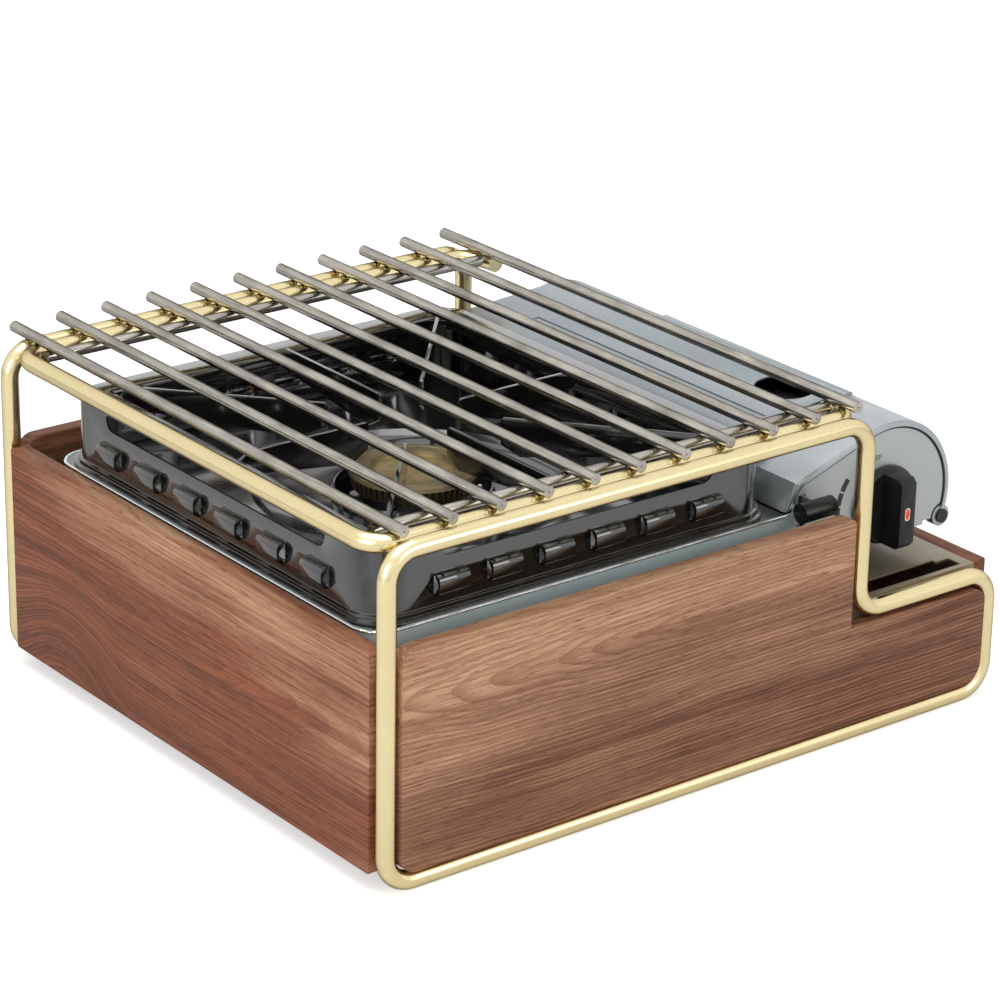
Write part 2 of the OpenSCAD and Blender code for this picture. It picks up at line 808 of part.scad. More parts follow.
// What a louvre opens in the wall behind it
module louvre_opening() {
    translate([-louvre_len / 2, -1, -louvre_h / 2 + skirt_t])
        cube([louvre_len, skirt_t + 2, louvre_h - 2 * skirt_t]);
}

// Copies children along each wall of the skirt, facing outwards
module on_each_wall() {
    long_pitch = (skirt_depth - 2 * (skirt_r + louvre_margin_y)) / louvre_count;
    short_pitch = (skirt_len - 2 * (skirt_r + louvre_margin_x)) / louvre_count;
    for (i = [0 : louvre_count - 1]) {
        along = (i + 0.5 - louvre_count / 2);
        translate([centre_x + along * short_pitch, skirt_y, louvre_z]) children();
        translate([centre_x - along * short_pitch, skirt_back, louvre_z])
            rotate([0, 0, 180]) children();
        translate([skirt_x, centre_y - along * long_pitch, louvre_z])
            rotate([0, 0, -90]) children();
        translate([skirt_right, centre_y + along * long_pitch, louvre_z])
            rotate([0, 0, 90]) children();
    }
}

// Thin upright finger from the rim inwards to the burner, at angle a
module pot_finger(a, reach, inner) {
    z0 = rim_z - 1.2;
    translate([centre_x, centre_y, 0]) rotate([90, 0, a]) translate([0, 0, -1])
        linear_extrude(2)
            polygon([[inner, z0 - 9], [inner + 10, z0 - 15], [reach - 8, z0 - 7],
                [reach, z0 - 0.2], [reach, rim_z + 0.4], [reach - 5, rim_z + finger_rise],
                [inner + 1, rim_z + finger_rise], [inner, rim_z + finger_rise - 1]]);
}

module pan_support() {
    x0 = skirt_x;
    y0 = skirt_y;
    x1 = skirt_right;
    y1 = skirt_back;
    color([0.07, 0.07, 0.08]) {
        difference() {
            union() {
                // skirt wall and its stepped base flange
                translate([0, 0, skirt_z]) linear_extrude(skirt_h - 0.5)
                    round_frame(x0, y0, x1, y1, skirt_r, skirt_t);
                translate([0, 0, skirt_z]) linear_extrude(flange_h)
                    round_frame(x0 - flange_w, y0 - flange_w, x1 + flange_w, y1 + flange_w,
                        skirt_r + flange_w, flange_w + skirt_t);
                translate([0, 0, skirt_z + flange_h - eps]) linear_extrude(2.4)
                    round_frame(x0 - 2, y0 - 2, x1 + 2, y1 + 2, skirt_r + 2, 2 + skirt_t);
                // flat rim round the top opening, with its turned-down inner lip
                translate([0, 0, rim_z - 1.2]) linear_extrude(1.2)
                    round_frame(x0 + 1, y0 + 1, x1 - 1, y1 - 1, skirt_r - 1, rim_w);
                translate([0, 0, rim_z - 5]) linear_extrude(4.5)
                    round_frame(x0 + rim_w, y0 + rim_w, x1 - rim_w, y1 - rim_w,
                        lip_r, skirt_t);
                on_each_wall() louvre();
            }
            on_each_wall() louvre_opening();
            // long windows under the rim in all four walls
            window_cut(centre_x, skirt_y, 0, skirt_len - 2 * window_margin);
            window_cut(centre_x, skirt_back, 180, skirt_len - 2 * window_margin);
            window_cut(skirt_x, centre_y, -90, skirt_depth - 2 * window_margin);
            window_cut(skirt_right, centre_y, 90, skirt_depth - 2 * window_margin);
        }
        for (i = [0 : 3]) {
            across = i % 2 == 0;
            pot_finger(90 * i, (across ? skirt_len : skirt_depth) / 2 - rim_w + 0.5,
                burner_d / 2 - 4);
        }
        for (s = [-1, 1], t = [-1, 1])
            pot_finger(atan2(t * lip_y, s * lip_x), norm([lip_x, lip_y]) + lip_r - 0.6,
                burner_d / 2 + 12);
    }
}

// Window with rounded lower corners, cut through the wall at x, y turned by a
module window_cut(x, y, a, w) {
    translate([x, y, 0]) rotate([0, 0, a]) along_y(-1, skirt_t + 2)
        round_rect(-w / 2, window_z, w / 2, window_z + window_h, [6, 6, 2, 2]);
}

// ---------- burner and gas way ----------

mix_end_x = chassis_right + 26;
mix_end_y = cover_y0 + 34;
mix_angle = atan2(mix_end_y - centre_y, mix_end_x - centre_x);
mix_cross_y = centre_y + (chassis_right - centre_x) * tan(mix_angle);
mix_len = norm([mix_end_x - centre_x, mix_end_y - centre_y]);

module burner_base() {
    r = burner_d / 2 - 5;
    color([0.7, 0.7, 0.68]) difference() {
        union() {
            translate([centre_x, centre_y, 0]) rotate_extrude()
                polygon([[0, tube_z - tube_d / 2 - 2], [14, tube_z - tube_d / 2 - 2],
                    [16, tube_z], [r - 4, burner_z - 8], [r, burner_z - 4], [r, burner_z - 0.2],
                    [0, burner_z - 0.2]]);
            for (p = boss_xy)
                translate([centre_x + p[0] * burner_screw_r, centre_y + p[1] * burner_screw_r,
                    chassis_z + sheet_t]) cylinder(d = 9, h = burner_z - 6 - chassis_z - sheet_t);
        }
        translate([centre_x, centre_y, tube_z]) rotate([0, 90, mix_angle])
            cylinder(d = tube_d + 2 * pin_play, h = 40);
        translate([centre_x, centre_y, burner_z - 12]) cylinder(d = 24, h = 20);
        for (p = boss_xy)
            translate([centre_x + p[0] * burner_screw_r, centre_y + p[1] * burner_screw_r,
                chassis_z]) cylinder(d = 3.1, h = 10);
    }
}

module burner_cap() {
    r = burner_d / 2;
    h = burner_cap_h;
    flame_slot_w = 1.6;
    slot_depth = 2.2;
    color([0.62, 0.54, 0.3]) translate([centre_x, centre_y, burner_z]) difference() {
        // from the rim inwards: slotted rim, fine groove, flat ring and shallow dish
        rotate_extrude($fn = 96) polygon([[0, 0], [r - 4, 0], [r - 1.5, 1.5], [r, h - 2.5],
            [r - 1, h - 0.6], [r - 3, h], [r - 4.2, h], [r - 4.6, h - 0.5],
            [r - 5.4, h - 0.5], [r - 5.8, h], [r - 11, h], [r - 12.5, h - 2.6],
            [6, h - 3.4], [0, h - 3.2]]);
        for (i = [0 : flame_slots - 1]) rotate([0, 0, i * 360 / flame_slots])
            translate([r - slot_depth, -flame_slot_w / 2, 1.8])
                cube([2 * slot_depth, flame_slot_w, h - 4.2]);
    }
}

module burner_screws() {
    color([0.7, 0.7, 0.7]) for (p = boss_xy)
        translate([centre_x + p[0] * burner_screw_r, centre_y + p[1] * burner_screw_r,
            chassis_z]) {
            translate([0, 0, -1.8]) cylinder(d = 6, h = 1.8);
            translate([0, 0, -1]) cylinder(d = 3, h = 9);
        }
}

module mixing_tube() {
    start = 17;
    color([0.72, 0.73, 0.72]) translate([centre_x, centre_y, tube_z]) rotate([0, 90, mix_angle])
        translate([0, 0, start]) difference() {
            cylinder(d = tube_d, h = mix_len - start);
            translate([0, 0, -1]) cylinder(d = tube_d - 2, h = mix_len - start + 2);
            // air inlets near the nozzle end
            for (a = [0, 90]) rotate([0, 0, a])
                translate([-tube_d, -4, mix_len - start - 24]) cube([2 * tube_d, 8, 12]);
        }
}

regulator_r = 20;
regulator_y0 = cover_y0 + 10;
regulator_len = 26;
nozzle_y = regulator_y0 + 18;

module gas_nozzle() {
    x0 = mix_end_x - 1;
    color([0.75, 0.65, 0.35]) difference() {
        union() {
            translate([mix_end_x, mix_end_y, tube_z]) rotate([0, 90, mix_angle])
                translate([0, 0, -8]) cylinder(d = tube_d - 2.2, h = 12);
            rod_along_x([x0 + 1, nozzle_y, tube_z], 8, can_x - regulator_r - x0 + 6);
        }
        translate([mix_end_x, mix_end_y, tube_z]) rotate([0, 90, mix_angle])
            translate([0, 0, -9]) cylinder(d = 2.4, h = 8);
    }
}

module igniter_electrode() {
    x = centre_x + (burner_d / 2 + 3.6) * cos(-60);
    y = centre_y + (burner_d / 2 + 3.6) * sin(-60);
    color([0.93, 0.92, 0.88]) translate([x, y, 0]) {
        translate([0, 0, chassis_z + sheet_t]) cylinder(d = 5.4, h = burner_z - chassis_z - 3);
        translate([0, 0, burner_z - 2.5]) cylinder(d = 2, h = 9);
    }
}

// Insulated wire from the electrode's foot along the floor to the regulator
module igniter_lead() {
    x = centre_x + (burner_d / 2 + 3.6) * cos(-60);
    y = centre_y + (burner_d / 2 + 3.6) * sin(-60);
    z = chassis_z + sheet_t + 1.2;
    color([0.7, 0.15, 0.1]) {
        rod_along_x([x + 2.9, y, z], 2, chassis_right - 14 - x);
        rod_along_y([chassis_right - 11.1, cover_y0 + 50, z], 2, y - cover_y0 - 49);
    }
}

module regulator_body() {
    color([0.75, 0.75, 0.74]) difference() {
        union() {
            rod_along_y([can_x, regulator_y0, can_z], 2 * regulator_r, regulator_len);
            rod_along_y([can_x, regulator_y0 + regulator_len - eps, can_z], 34,
                cover_y1 - regulator_y0 - regulator_len + 4);
            // foot that stands on the base plate
            translate([can_x - 30, regulator_y0 + 2, chassis_z + sheet_t])
                cube([16, 20, can_z - chassis_z - 10]);
        }
        rod_along_y([knob_x, regulator_y0 - 1, can_z], shaft_d + 2 + 2 * pin_play, 13);
        rod_along_y([can_x, cover_y1 - 4, can_z], 2 * socket_r, 20);
        rod_along_x([can_x - 31, nozzle_y, tube_z], 8 + 2 * pin_play, 24);
    }
}

module regulator_cap() {
    color([0.62, 0.63, 0.62]) difference() {
        translate([can_x + 2, regulator_y0 + 12, can_z + regulator_r - 2.5]) {
            cylinder(d = 19, h = 6.5);
            translate([0, 0, 6.49]) cylinder(d = 14, h = 1.5);
        }
        rod_along_y([can_x, regulator_y0 - 1, can_z], 2 * regulator_r + 0.1, regulator_len + 2);
    }
}

// ---------- front of the cartridge side ----------

// Everything under an arch of radius r and its flank, from edge rightwards, above
// the hinge line; below the fold at edge the left side leans out by splay
module hood_fill(r, edge, splay = 0) {
    difference() {
        union() {
            translate([can_x, can_z]) circle(r = r);
            polygon([[edge - splay, hinge_z], [can_x, hinge_z], [can_x, can_z + r],
                [can_x - r * sin(flank_slope), can_z + r * cos(flank_slope)],
                [edge, flank_z(r, edge)], [edge - splay, cover_foot_z]]);
        }
        translate([can_x - far / 2, hinge_z - far]) square([far, far + eps]);
    }
}

// Front end of the hood with its rolled edge round the fascia
module regulator_cover() {
    color([0.66, 0.69, 0.71]) difference() {
        union() {
            along_y(cover_y0, cover_depth) difference() {
                hood_fill(hood_r, cover_left, cover_splay);
                hood_fill(hood_r - hood_t, cover_left + hood_t, cover_splay);
                cover_trim();
            }
            // the front face between the hood and the fascia, with a raised bead
            along_y(cover_y0, 2.5) difference() {
                hood_fill(hood_r - 0.5, cover_left + 0.5, cover_splay);
                hood_fill(fascia_r + 0.4, fascia_left - 0.4);
                cover_trim();
            }
            along_y(cover_y0 - bead_out, bead_out + eps) difference() {
                hood_fill(hood_r - 0.8, cover_left + 0.8, cover_splay);
                hood_fill(hood_r - 0.8 - bead_w, cover_left + 0.8 + bead_w, cover_splay);
                cover_trim();
            }
            rod_along_y([hinge_x, cover_y0, hinge_z], eye_d, 6);
        }
        rod_along_y([hinge_x, cover_y0 - far, hinge_z], hinge_pin_d + 2 * pin_play, 2 * far);
        rod_along_y([hinge_x, cover_y0 - far, hinge_z], pin_head_d + 0.4, far);
        rod_along_y([hinge_x, cover_y0 + 6, hinge_z], 2 * barrel_r + 1, cover_depth);
    }
}

// What is cut off below the foot of the left flank
module cover_trim() {
    translate([chassis_right - far, hinge_z - 1])
        square([far + 2, cover_foot_z - hinge_z + 1]);
}

fascia_bottom = hinge_z - 2;

module front_fascia() {
    color([0.7, 0.72, 0.71]) difference() {
        union() {
            along_y(fascia_y, fascia_t) difference() {
                union() {
                    hood_fill(fascia_r, fascia_left);
                    translate([fascia_left, fascia_bottom])
                        square([can_x + 27 - fascia_left, can_z - fascia_bottom]);
                }
                translate([hinge_x, hinge_z]) circle(r = 7.4);
            }
            // flange behind the plate, down to the base plate
            translate([fascia_left + 14, fascia_y + fascia_t - eps, chassis_z + sheet_t])
                cube([22, sheet_t, can_z - 8 - chassis_z]);
        }
        // hole for the valve shaft and slot for the lock lever
        rod_along_y([knob_x, fascia_y - 1, can_z], shaft_d + 4, 6);
        translate([lever_x - 1.7, fascia_y - 1, lever_z - 22]) cube([5, 6, 25.7]);
        for (p = fascia_screw_spots)
            rod_along_y([p[0], fascia_y - 1, p[1]], 3.3, 6);
    }
}

fascia_screw_spots = [[fascia_left + 27, fascia_bottom + 4]];

module fascia_screws() {
    color([0.75, 0.75, 0.75]) for (p = fascia_screw_spots) {
        rod_along_y([p[0], fascia_y - 1.8, p[1]], 5.6, 1.8);
        rod_along_y([p[0], fascia_y - eps, p[1]], 3.1, 5);
    }
}

// ---------- controls ----------

// Oval pointer outline, made larger all round by grow
module pointer_outline(grow) {
    w = pointer_w / 2 + grow;
    h = pointer_h / 2 + grow;
    translate([knob_x, can_z]) round_rect(-w, -h, w, h, [w, w, w, w] * 0.98);
}

module gas_knob() {
    y1 = fascia_y - knob_gap;
    y0 = fascia_y - knob_out;
    half = grip_len / 2;
    slant = 2.6;
    color([0.08, 0.08, 0.08]) difference() {
        union() {
            translate([knob_x, y1, can_z]) rotate([90, 0, 0]) rotate_extrude($fn = 96)
                polygon([[0, 0], [knob_d / 2, 0], [knob_d / 2, 2.2], [knob_d / 2 - 2, 4.4],
                    [0, 4.8]]);
            // grip bar with slanting ends
            translate([0, 0, can_z]) along_x(knob_x - grip_w / 2, grip_w)
                polygon([[y1 - 2, -half], [y0 + slant, -half], [y0, slant - half],
                    [y0, half - slant], [y0 + slant, half], [y1 - 2, half]]);
        }
        rod_along_y([knob_x, y1 - 8, can_z], shaft_d + 2 * press_play, 9);
        along_y(y0 - 1, 2) pointer_outline(0.1);
    }
}

module knob_pointer() {
    color([0.9, 0.35, 0.25]) along_y(fascia_y - knob_out, 0.98) pointer_outline(0);
}

module valve_shaft() {
    color([0.75, 0.65, 0.35]) {
        rod_along_y([knob_x, fascia_y - knob_gap - 7.9, can_z], shaft_d, 13);
        rod_along_y([knob_x, fascia_y + 4, can_z], shaft_d + 2, regulator_y0 + 6 - fascia_y);
    }
}

// Flat lever on its pin, with a tail that drives the carrier
module lock_lever() {
    color([0.6, 0.6, 0.6]) difference() {
        along_x(lever_x, lever_t) union() {
            polygon([[grip_y, lever_z - lever_w / 2], [pivot_y, lever_z - 5],
                [pivot_y + 5, lever_z], [pivot_y, lever_z + 5], [grip_y, lever_z + lever_w / 2]]);
            translate([pivot_y, lever_z]) circle(d = 10.6);
            translate([grip_y, lever_z]) circle(d = lever_w);
        }
        rod_along_x([lever_x - 1, pivot_y, lever_z], 5 + 2 * pin_play, 4);
    }
}

module lever_grip() {
    x0 = lever_x - grip_lead;
    // slot for the lever's end, wider at the back where the lever spreads
    slot_h = lever_w + 0.6;
    color([0.08, 0.08, 0.08]) difference() {
        union() {
            rod_along_x([x0, grip_y, lever_z], lever_grip_d, lever_grip_len);
            translate([x0 + lever_grip_len, grip_y, lever_z]) rotate([0, 90, 0])
                cylinder(d1 = lever_grip_d, d2 = lever_grip_d - 1.6, h = 0.8);
        }
        translate([lever_x - press_play, grip_y - lever_w / 2 - 0.1, lever_z - slot_h / 2])
            cube([lever_t + 2 * press_play, lever_grip_d, slot_h]);
    }
}

module lever_pin() {
    x0 = chassis_right + seat_gap + sheet_t + 0.1;
    color([0.7, 0.7, 0.7]) {
        rod_along_x([x0, pivot_y, lever_z], 5, 14);
        rod_along_x([x0, pivot_y, lever_z], 10, lever_x - x0 - 0.3);
    }
}

// ---------- cartridge ----------

carrier_x = can_x - can_r - 4.6;
carrier_t = 1.4;
carrier_y1 = can_y1 + 3.4;

module cartridge_carrier() {
    color([0.62, 0.63, 0.62]) {
        translate([carrier_x, can_y0 - 8, can_z + 0.3])
            cube([carrier_t, carrier_y1 - can_y0 + 8, 9]);
        along_y(carrier_y1 - carrier_t, carrier_t) union() {
            translate([can_x, can_z]) circle(r = 20);
            translate([carrier_x, can_z + 0.3]) square([can_x - carrier_x, 9]);
        }
    }
}

spring_turns = 7;
spring_r = 6;
spring_wire = 1.2;
spring_y0 = carrier_y1 + 0.2;
spring_len = lid_y1 - carrier_y1 + 0.1;

// Closed tube swept along a helix about the cartridge's axis
module release_spring() {
    per_turn = 14;
    sides = 6;
    n = spring_turns * per_turn;
    function ring(i) =
        let (a = 360 * i / per_turn, y = spring_wire / 2 + (spring_len - spring_wire) * i / n)
        [for (k = [0 : sides - 1])
            let (b = 360 * k / sides, q = spring_r + spring_wire / 2 * cos(b))
            [q * cos(a), y + spring_wire / 2 * sin(b), q * sin(a)]];
    points = [for (i = [0 : n]) each ring(i)];
    faces = concat(
        [[for (k = [0 : sides - 1]) k]],
        [for (i = [0 : n - 1], k = [0 : sides - 1])
            [i * sides + k, (i + 1) * sides + k, (i + 1) * sides + (k + 1) % sides,
                i * sides + (k + 1) % sides]],
        [[for (k = [sides - 1 : -1 : 0]) n * sides + k]]);
    color([0.75, 0.75, 0.75]) translate([can_x, spring_y0, can_z]) polyhedron(points, faces);
}

module cartridge_can() {
    r = can_r;
    l = can_len;
    color([0.86, 0.87, 0.88]) translate([can_x, can_y0, can_z]) rotate([-90, 0, 0])
        rotate_extrude($fn = 96) polygon([[0, 4], [20, 4], [24, 2.5], [r - 2.5, 5], [r - 1, 4],
            [r, 5], [r, 7], [r - 1, 8.5], [r - 1, l - 4.5], [r, l - 3], [r, l - 1],
            [r - 1.2, l], [r - 3, l - 1.5], [r - 6, l - 5], [0, l - 5]]);
}

module cartridge_collar() {
    color([0.75, 0.76, 0.77]) translate([can_x, can_y0, can_z]) rotate([-90, 0, 0])
        difference() {
            rotate_extrude($fn = 96) polygon([[7.1, 3.8], [19.9, 3.8], [19.9, -3.8],
                [26, -3.8], [26, -5], [18.7, -5], [18.7, 2.6], [7.1, 2.6]]);
            // locating notch of the flange
            translate([-3, -30, -6]) cube([6, 10, 4]);
        }
}

module cartridge_valve() {
    color([0.8, 0.75, 0.55]) {
        rod_along_y([can_x, can_y0 - 2, can_z], 14, 5.8);
        rod_along_y([can_x, can_y0 - 8.5, can_z], 5, 6.6);
    }
}

// Lid over the cartridge: arch, nearly flat top to the left, lip and knuckles
function lid_flat_z(r, x) =
    can_z + r * cos(lid_flat_slope)
    + (x - (can_x - r * sin(lid_flat_slope))) * tan(lid_flat_slope);

lid_left = chassis_right - 3.5;
lid_lip_h = 8;
// Height above the cartridge's axis at which the lid's left side ends
lid_side_up = 30;

module lid_fill(r, inset) {
    edge = lid_left + inset;
    difference() {
        union() {
            translate([can_x, can_z]) circle(r = r);
            polygon([[edge, lid_flat_z(r, edge) - lid_lip_h], [can_x, can_z - 10], [can_x, can_z + r],
                [can_x - r * sin(lid_flat_slope), can_z + r * cos(lid_flat_slope)],
                [edge, lid_flat_z(r, edge)]]);
        }
        translate([can_x - far, can_z - far]) square([far, far + lid_side_up]);
        translate([can_x - 10, can_z - far]) square([far, far - hinge_drop + barrel_r - 1.4]);
    }
}

hole_x = can_x - 9;
hole_y = lid_y0 + 26;
hole_w = 29;
hole_l = 34;
bead_len = 150;
groove_w = 3.6;

module cartridge_lid() {
    color([0.66, 0.7, 0.72]) difference() {
        union() {
            along_y(lid_y0, lid_y1 - lid_y0) difference() {
                lid_fill(hood_r, 0);
                lid_fill(hood_r - hood_t, hood_t);
                translate([can_x - far, can_z]) square([far, lid_side_up + 3]);
            }
            for (s = hinge_spans(0)) barrel(s[0], s[1]);
            // pressed bead along the crest
            along_y(lid_y0 + 2, bead_len) translate([can_x + 14, can_z + hood_r - 4.6])
                round_rect(-3, 0, 3, 3.4, [0, 0, 1.6, 1.6]);
        }
        // finger hole in the crest and groove on the flat
        translate([hole_x, hole_y, can_z]) linear_extrude(hood_r + 10)
            round_rect(-hole_w / 2, -hole_l / 2, hole_w / 2, hole_l / 2,
                [hole_w, hole_w, hole_w, hole_w] / 2.02);
        translate([can_x - 45, lid_y0 + 4, lid_flat_z(hood_r, can_x - 43.5) - 0.5])
            cube([groove_w, lid_y1 - lid_y0 - 40, 2]);
        for (s = hinge_spans(1)) knuckle_room(s);
    }
}

module hinge_pin() {
    color([0.1, 0.1, 0.1]) {
        rod_along_y([hinge_x, cover_y0 - 0.2, hinge_z], hinge_pin_d, lid_y1 + 2 - cover_y0);
        rod_along_y([hinge_x, cover_y0 - 0.1 - pin_head_h, hinge_z], pin_head_d, pin_head_h);
    }
}

place() front_wire_frame();
place() rear_wire_frame();
place() top_ring();
place() front_panel();
place() rear_panel();
place() left_panel();
place() right_panel();
place() stove_shelf();
place() panel_screws();
place() grate_rods();
place() grate_cross_bars();
place() chassis();
place() chassis_feet();
place() heat_partition();
place() cartridge_bay();
place() bay_bulkhead();
place() bay_end_plate();
place() drip_pan();
place() pan_support();
place() burner_base();
place() burner_cap();
place() burner_screws();
place() mixing_tube();
place() gas_nozzle();
place() igniter_electrode();
place() igniter_lead();
place() regulator_body();
place() regulator_cap();
place() regulator_cover();
place() front_fascia();
place() fascia_screws();
place() gas_knob();
place() knob_pointer();
place() valve_shaft();
place() lock_lever();
place() lever_grip();
place() lever_pin();
place() cartridge_carrier();
place() release_spring();
place() cartridge_can();
place() cartridge_collar();
place() cartridge_valve();
place() cartridge_lid();
place() hinge_pin();
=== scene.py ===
import math

import bmesh
import bpy
from bpy.props import FloatProperty, FloatVectorProperty, IntProperty, PointerProperty
from mathutils import Euler, Matrix, Vector


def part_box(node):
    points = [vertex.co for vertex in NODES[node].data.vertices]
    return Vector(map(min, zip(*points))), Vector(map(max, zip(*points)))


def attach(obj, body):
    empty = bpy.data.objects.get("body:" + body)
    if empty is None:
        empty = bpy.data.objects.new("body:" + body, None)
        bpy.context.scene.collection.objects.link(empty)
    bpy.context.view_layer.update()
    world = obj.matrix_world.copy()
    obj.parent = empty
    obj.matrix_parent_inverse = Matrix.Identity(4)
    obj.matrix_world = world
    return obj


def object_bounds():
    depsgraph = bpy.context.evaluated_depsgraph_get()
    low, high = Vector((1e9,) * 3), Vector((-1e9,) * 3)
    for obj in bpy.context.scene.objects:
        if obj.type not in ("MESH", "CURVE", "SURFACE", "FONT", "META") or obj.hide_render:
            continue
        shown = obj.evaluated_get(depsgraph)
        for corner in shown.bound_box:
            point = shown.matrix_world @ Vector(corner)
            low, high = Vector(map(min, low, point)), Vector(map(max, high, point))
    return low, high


bl_info = {
    "name": "Cassette stove in a walnut stand",
    "version": (1, 0, 0),
    "blender": (4, 5, 0),
    "location": "View3D > Sidebar > Stove",
    "description": "Finishes and small parts of a butane cassette stove and its serving stand",
    "category": "Object",
}

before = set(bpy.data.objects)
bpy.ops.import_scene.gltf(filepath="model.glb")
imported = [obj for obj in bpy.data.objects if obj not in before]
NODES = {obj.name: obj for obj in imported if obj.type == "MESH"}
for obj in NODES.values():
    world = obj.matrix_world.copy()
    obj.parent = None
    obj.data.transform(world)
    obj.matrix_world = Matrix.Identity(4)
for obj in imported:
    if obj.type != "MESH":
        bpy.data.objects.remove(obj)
CAD_LOW, CAD_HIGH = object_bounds()
MM = 0.001
ROD_COUNT = 11
# Corners closer than this are one corner.
WELD_GAP = 0.002 * MM
# In degrees: faces that meet at less are shaded as one, and edges sharper than the second
# angle are rounded.
SMOOTH_ANGLE = 32.0
EDGE_ANGLE = 50.0
CAMERA_DEGREES = (68.052, -0.945, -37.579)
# Name, place, point aimed at, width and height, watts.
LAMPS = (("Top softbox", (-0.25, -0.1, 1.7), (0, 0, 0.08), (1.6, 1.6), 15.0),
         ("Left softbox", (-1.9, -0.5, 0.75), (0, 0, 0.1), (1.2, 1.0), 10.0),
         ("Front softbox", (0.7, -2.1, 0.8), (0, 0, 0.1), (1.2, 0.9), 9.0))


def srgb(red, green, blue):
    """A colour given as 0 to 255 on a screen, as the linear colour that shaders take."""
    def linear(value):
        value /= 255
        return value / 12.92 if value <= 0.04045 else ((value + 0.055) / 1.055) ** 2.4
    return (linear(red), linear(green), linear(blue))


def colour_property(name, description, default):
    return FloatVectorProperty(name=name, description=description, default=default,
                               subtype="COLOR", size=3, min=0, max=1)


def length_property(name, description, default):
    return FloatProperty(name=name, description=description, default=default,
                         unit="LENGTH", subtype="DISTANCE", min=0)


class StandLooks(bpy.types.PropertyGroup):
    """Colours and small sizes of the serving stand and its grate"""
    brass: colour_property("Brass", "Colour of the bent bars", srgb(243, 226, 174))
    walnut_dark: colour_property("Walnut, dark", "Late wood lines", srgb(80, 43, 29))
    walnut_mid: colour_property("Walnut, middle", "Body of the wood", srgb(164, 113, 83))
    walnut_light: colour_property("Walnut, light", "Early wood", srgb(208, 169, 135))
    walnut_red: colour_property("Walnut, red", "Red heartwood of the side boards",
                                srgb(158, 90, 58))
    steel: colour_property("Rods", "Colour of the grate's steel", srgb(206, 201, 191))
    shelf: colour_property("Shelf", "Colour of the shelf's finish", srgb(128, 109, 72))
    board_edge: length_property("Board edge", "Rounding of the boards' edges", 0.9 * MM)
    rod_mark: length_property("Rod mark", "Diameter of the centre mark on a rod's end", 1.0 * MM)


class StoveLooks(bpy.types.PropertyGroup):
    """Colours and small sizes of the cassette stove"""
    chassis: colour_property("Chassis", "Metallic paint of the chassis", srgb(202, 226, 231))
    hood: colour_property("Hood", "Metallic paint of the regulator cover", srgb(174, 181, 185))
    lid: colour_property("Lid", "Metallic paint of the lid", srgb(138, 148, 153))
    fascia: colour_property("Fascia", "Colour of the front plate", srgb(186, 191, 189))
    enamel: colour_property("Enamel", "Black enamel of the pan support", srgb(19, 20, 18))
    burner: colour_property("Burner", "Aged brass of the burner cap", srgb(164, 147, 104))
    knob: colour_property("Knob", "Black plastic of knob and grip", srgb(13, 14, 14))
    pointer: colour_property("Pointer", "Coloured insert of the knob", srgb(222, 74, 46))
    rim_size: length_property("Chassis rim", "Thickness of the chassis' rolled rim", 1.5 * MM)
    dial_radius: length_property("Dial radius", "Outer radius of the dial's dark band", 33 * MM)
    dial_width: length_property("Dial width", "Width of the dial's dark band", 3.4 * MM)
    dial_marks: IntProperty(name="Dial marks", description="Number of parts of the dial's band",
                            default=5, min=3, max=15)
    # Width of the dark strip painted as the shadow in the gap round the front plate.
    seam_shadow_width: length_property("Seam shadow width", "Width of the gap round the front plate", 1.15 * MM)
    word_height: length_property("Word height", "Size of the letters beside the knob", 4.4 * MM)


class StageSettings(bpy.types.PropertyGroup):
    """Camera, world and floor"""
    camera_place: FloatVectorProperty(name="Camera place", description="Where the camera stands",
                                      default=(-1.081, -1.39, 0.808), subtype="TRANSLATION")
    camera_turn: FloatVectorProperty(name="Camera turn", description="How the camera is turned",
                                     default=[math.radians(turn) for turn in CAMERA_DEGREES],
                                     subtype="EULER", unit="ROTATION")
    lens: FloatProperty(name="Lens", description="Focal length in millimetres", default=131.2,
                        unit="CAMERA", subtype="DISTANCE_CAMERA")
    world_light: FloatProperty(name="World", description="Light from all round", default=0.5)
    floor: colour_property("Floor", "Colour of the floor", (0.9, 0.9, 0.9))
    floor_lift: FloatProperty(name="Floor lift", default=0.5,
                              description="Light that the camera sees the floor give by itself")


# ---------- node trees ----------

def add_node(tree, kind, inputs=None, **settings):
    """A node of that kind, with its inputs' values or links and its own settings."""
    made = tree.nodes.new(kind)
    for name, value in settings.items():
        setattr(made, name, value)
    for name, value in (inputs or {}).items():
        socket = made.inputs[name]
        if isinstance(value, bpy.types.NodeSocket):
            tree.links.new(value, socket)
        else:
            socket.default_value = value
    return made


def noise(tree, vector, scale, detail, roughness):
    made = add_node(tree, "ShaderNodeTexNoise", {
        "Vector": vector, "Scale": scale, "Detail": detail, "Roughness": roughness})
    return made.outputs["Fac"]


def remap(tree, value, low, high, to_low, to_high):
    made = add_node(tree, "ShaderNodeMapRange", {
        "Value": value, "From Min": low, "From Max": high, "To Min": to_low, "To Max": to_high})
    return made.outputs["Result"]


def blend_colour(tree, factor, first, second):
    made = add_node(tree, "ShaderNodeMix", data_type="RGBA")
    for name, value in (("Factor_Float", factor), ("A_Color", first), ("B_Color", second)):
        socket = next(s for s in made.inputs if s.identifier == name)
        if isinstance(value, bpy.types.NodeSocket):
            tree.links.new(value, socket)
        elif name == "Factor_Float":
            socket.default_value = value
        else:
            socket.default_value = (*value, 1.0)[:4]
    return next(s for s in made.outputs if s.identifier == "Result_Color")


def arithmetic(tree, how, first, second):
    made = add_node(tree, "ShaderNodeMath", operation=how)
    for socket, value in zip(made.inputs, (first, second)):
        if isinstance(value, bpy.types.NodeSocket):
            tree.links.new(value, socket)
        else:
            socket.default_value = value
    return made.outputs[0]


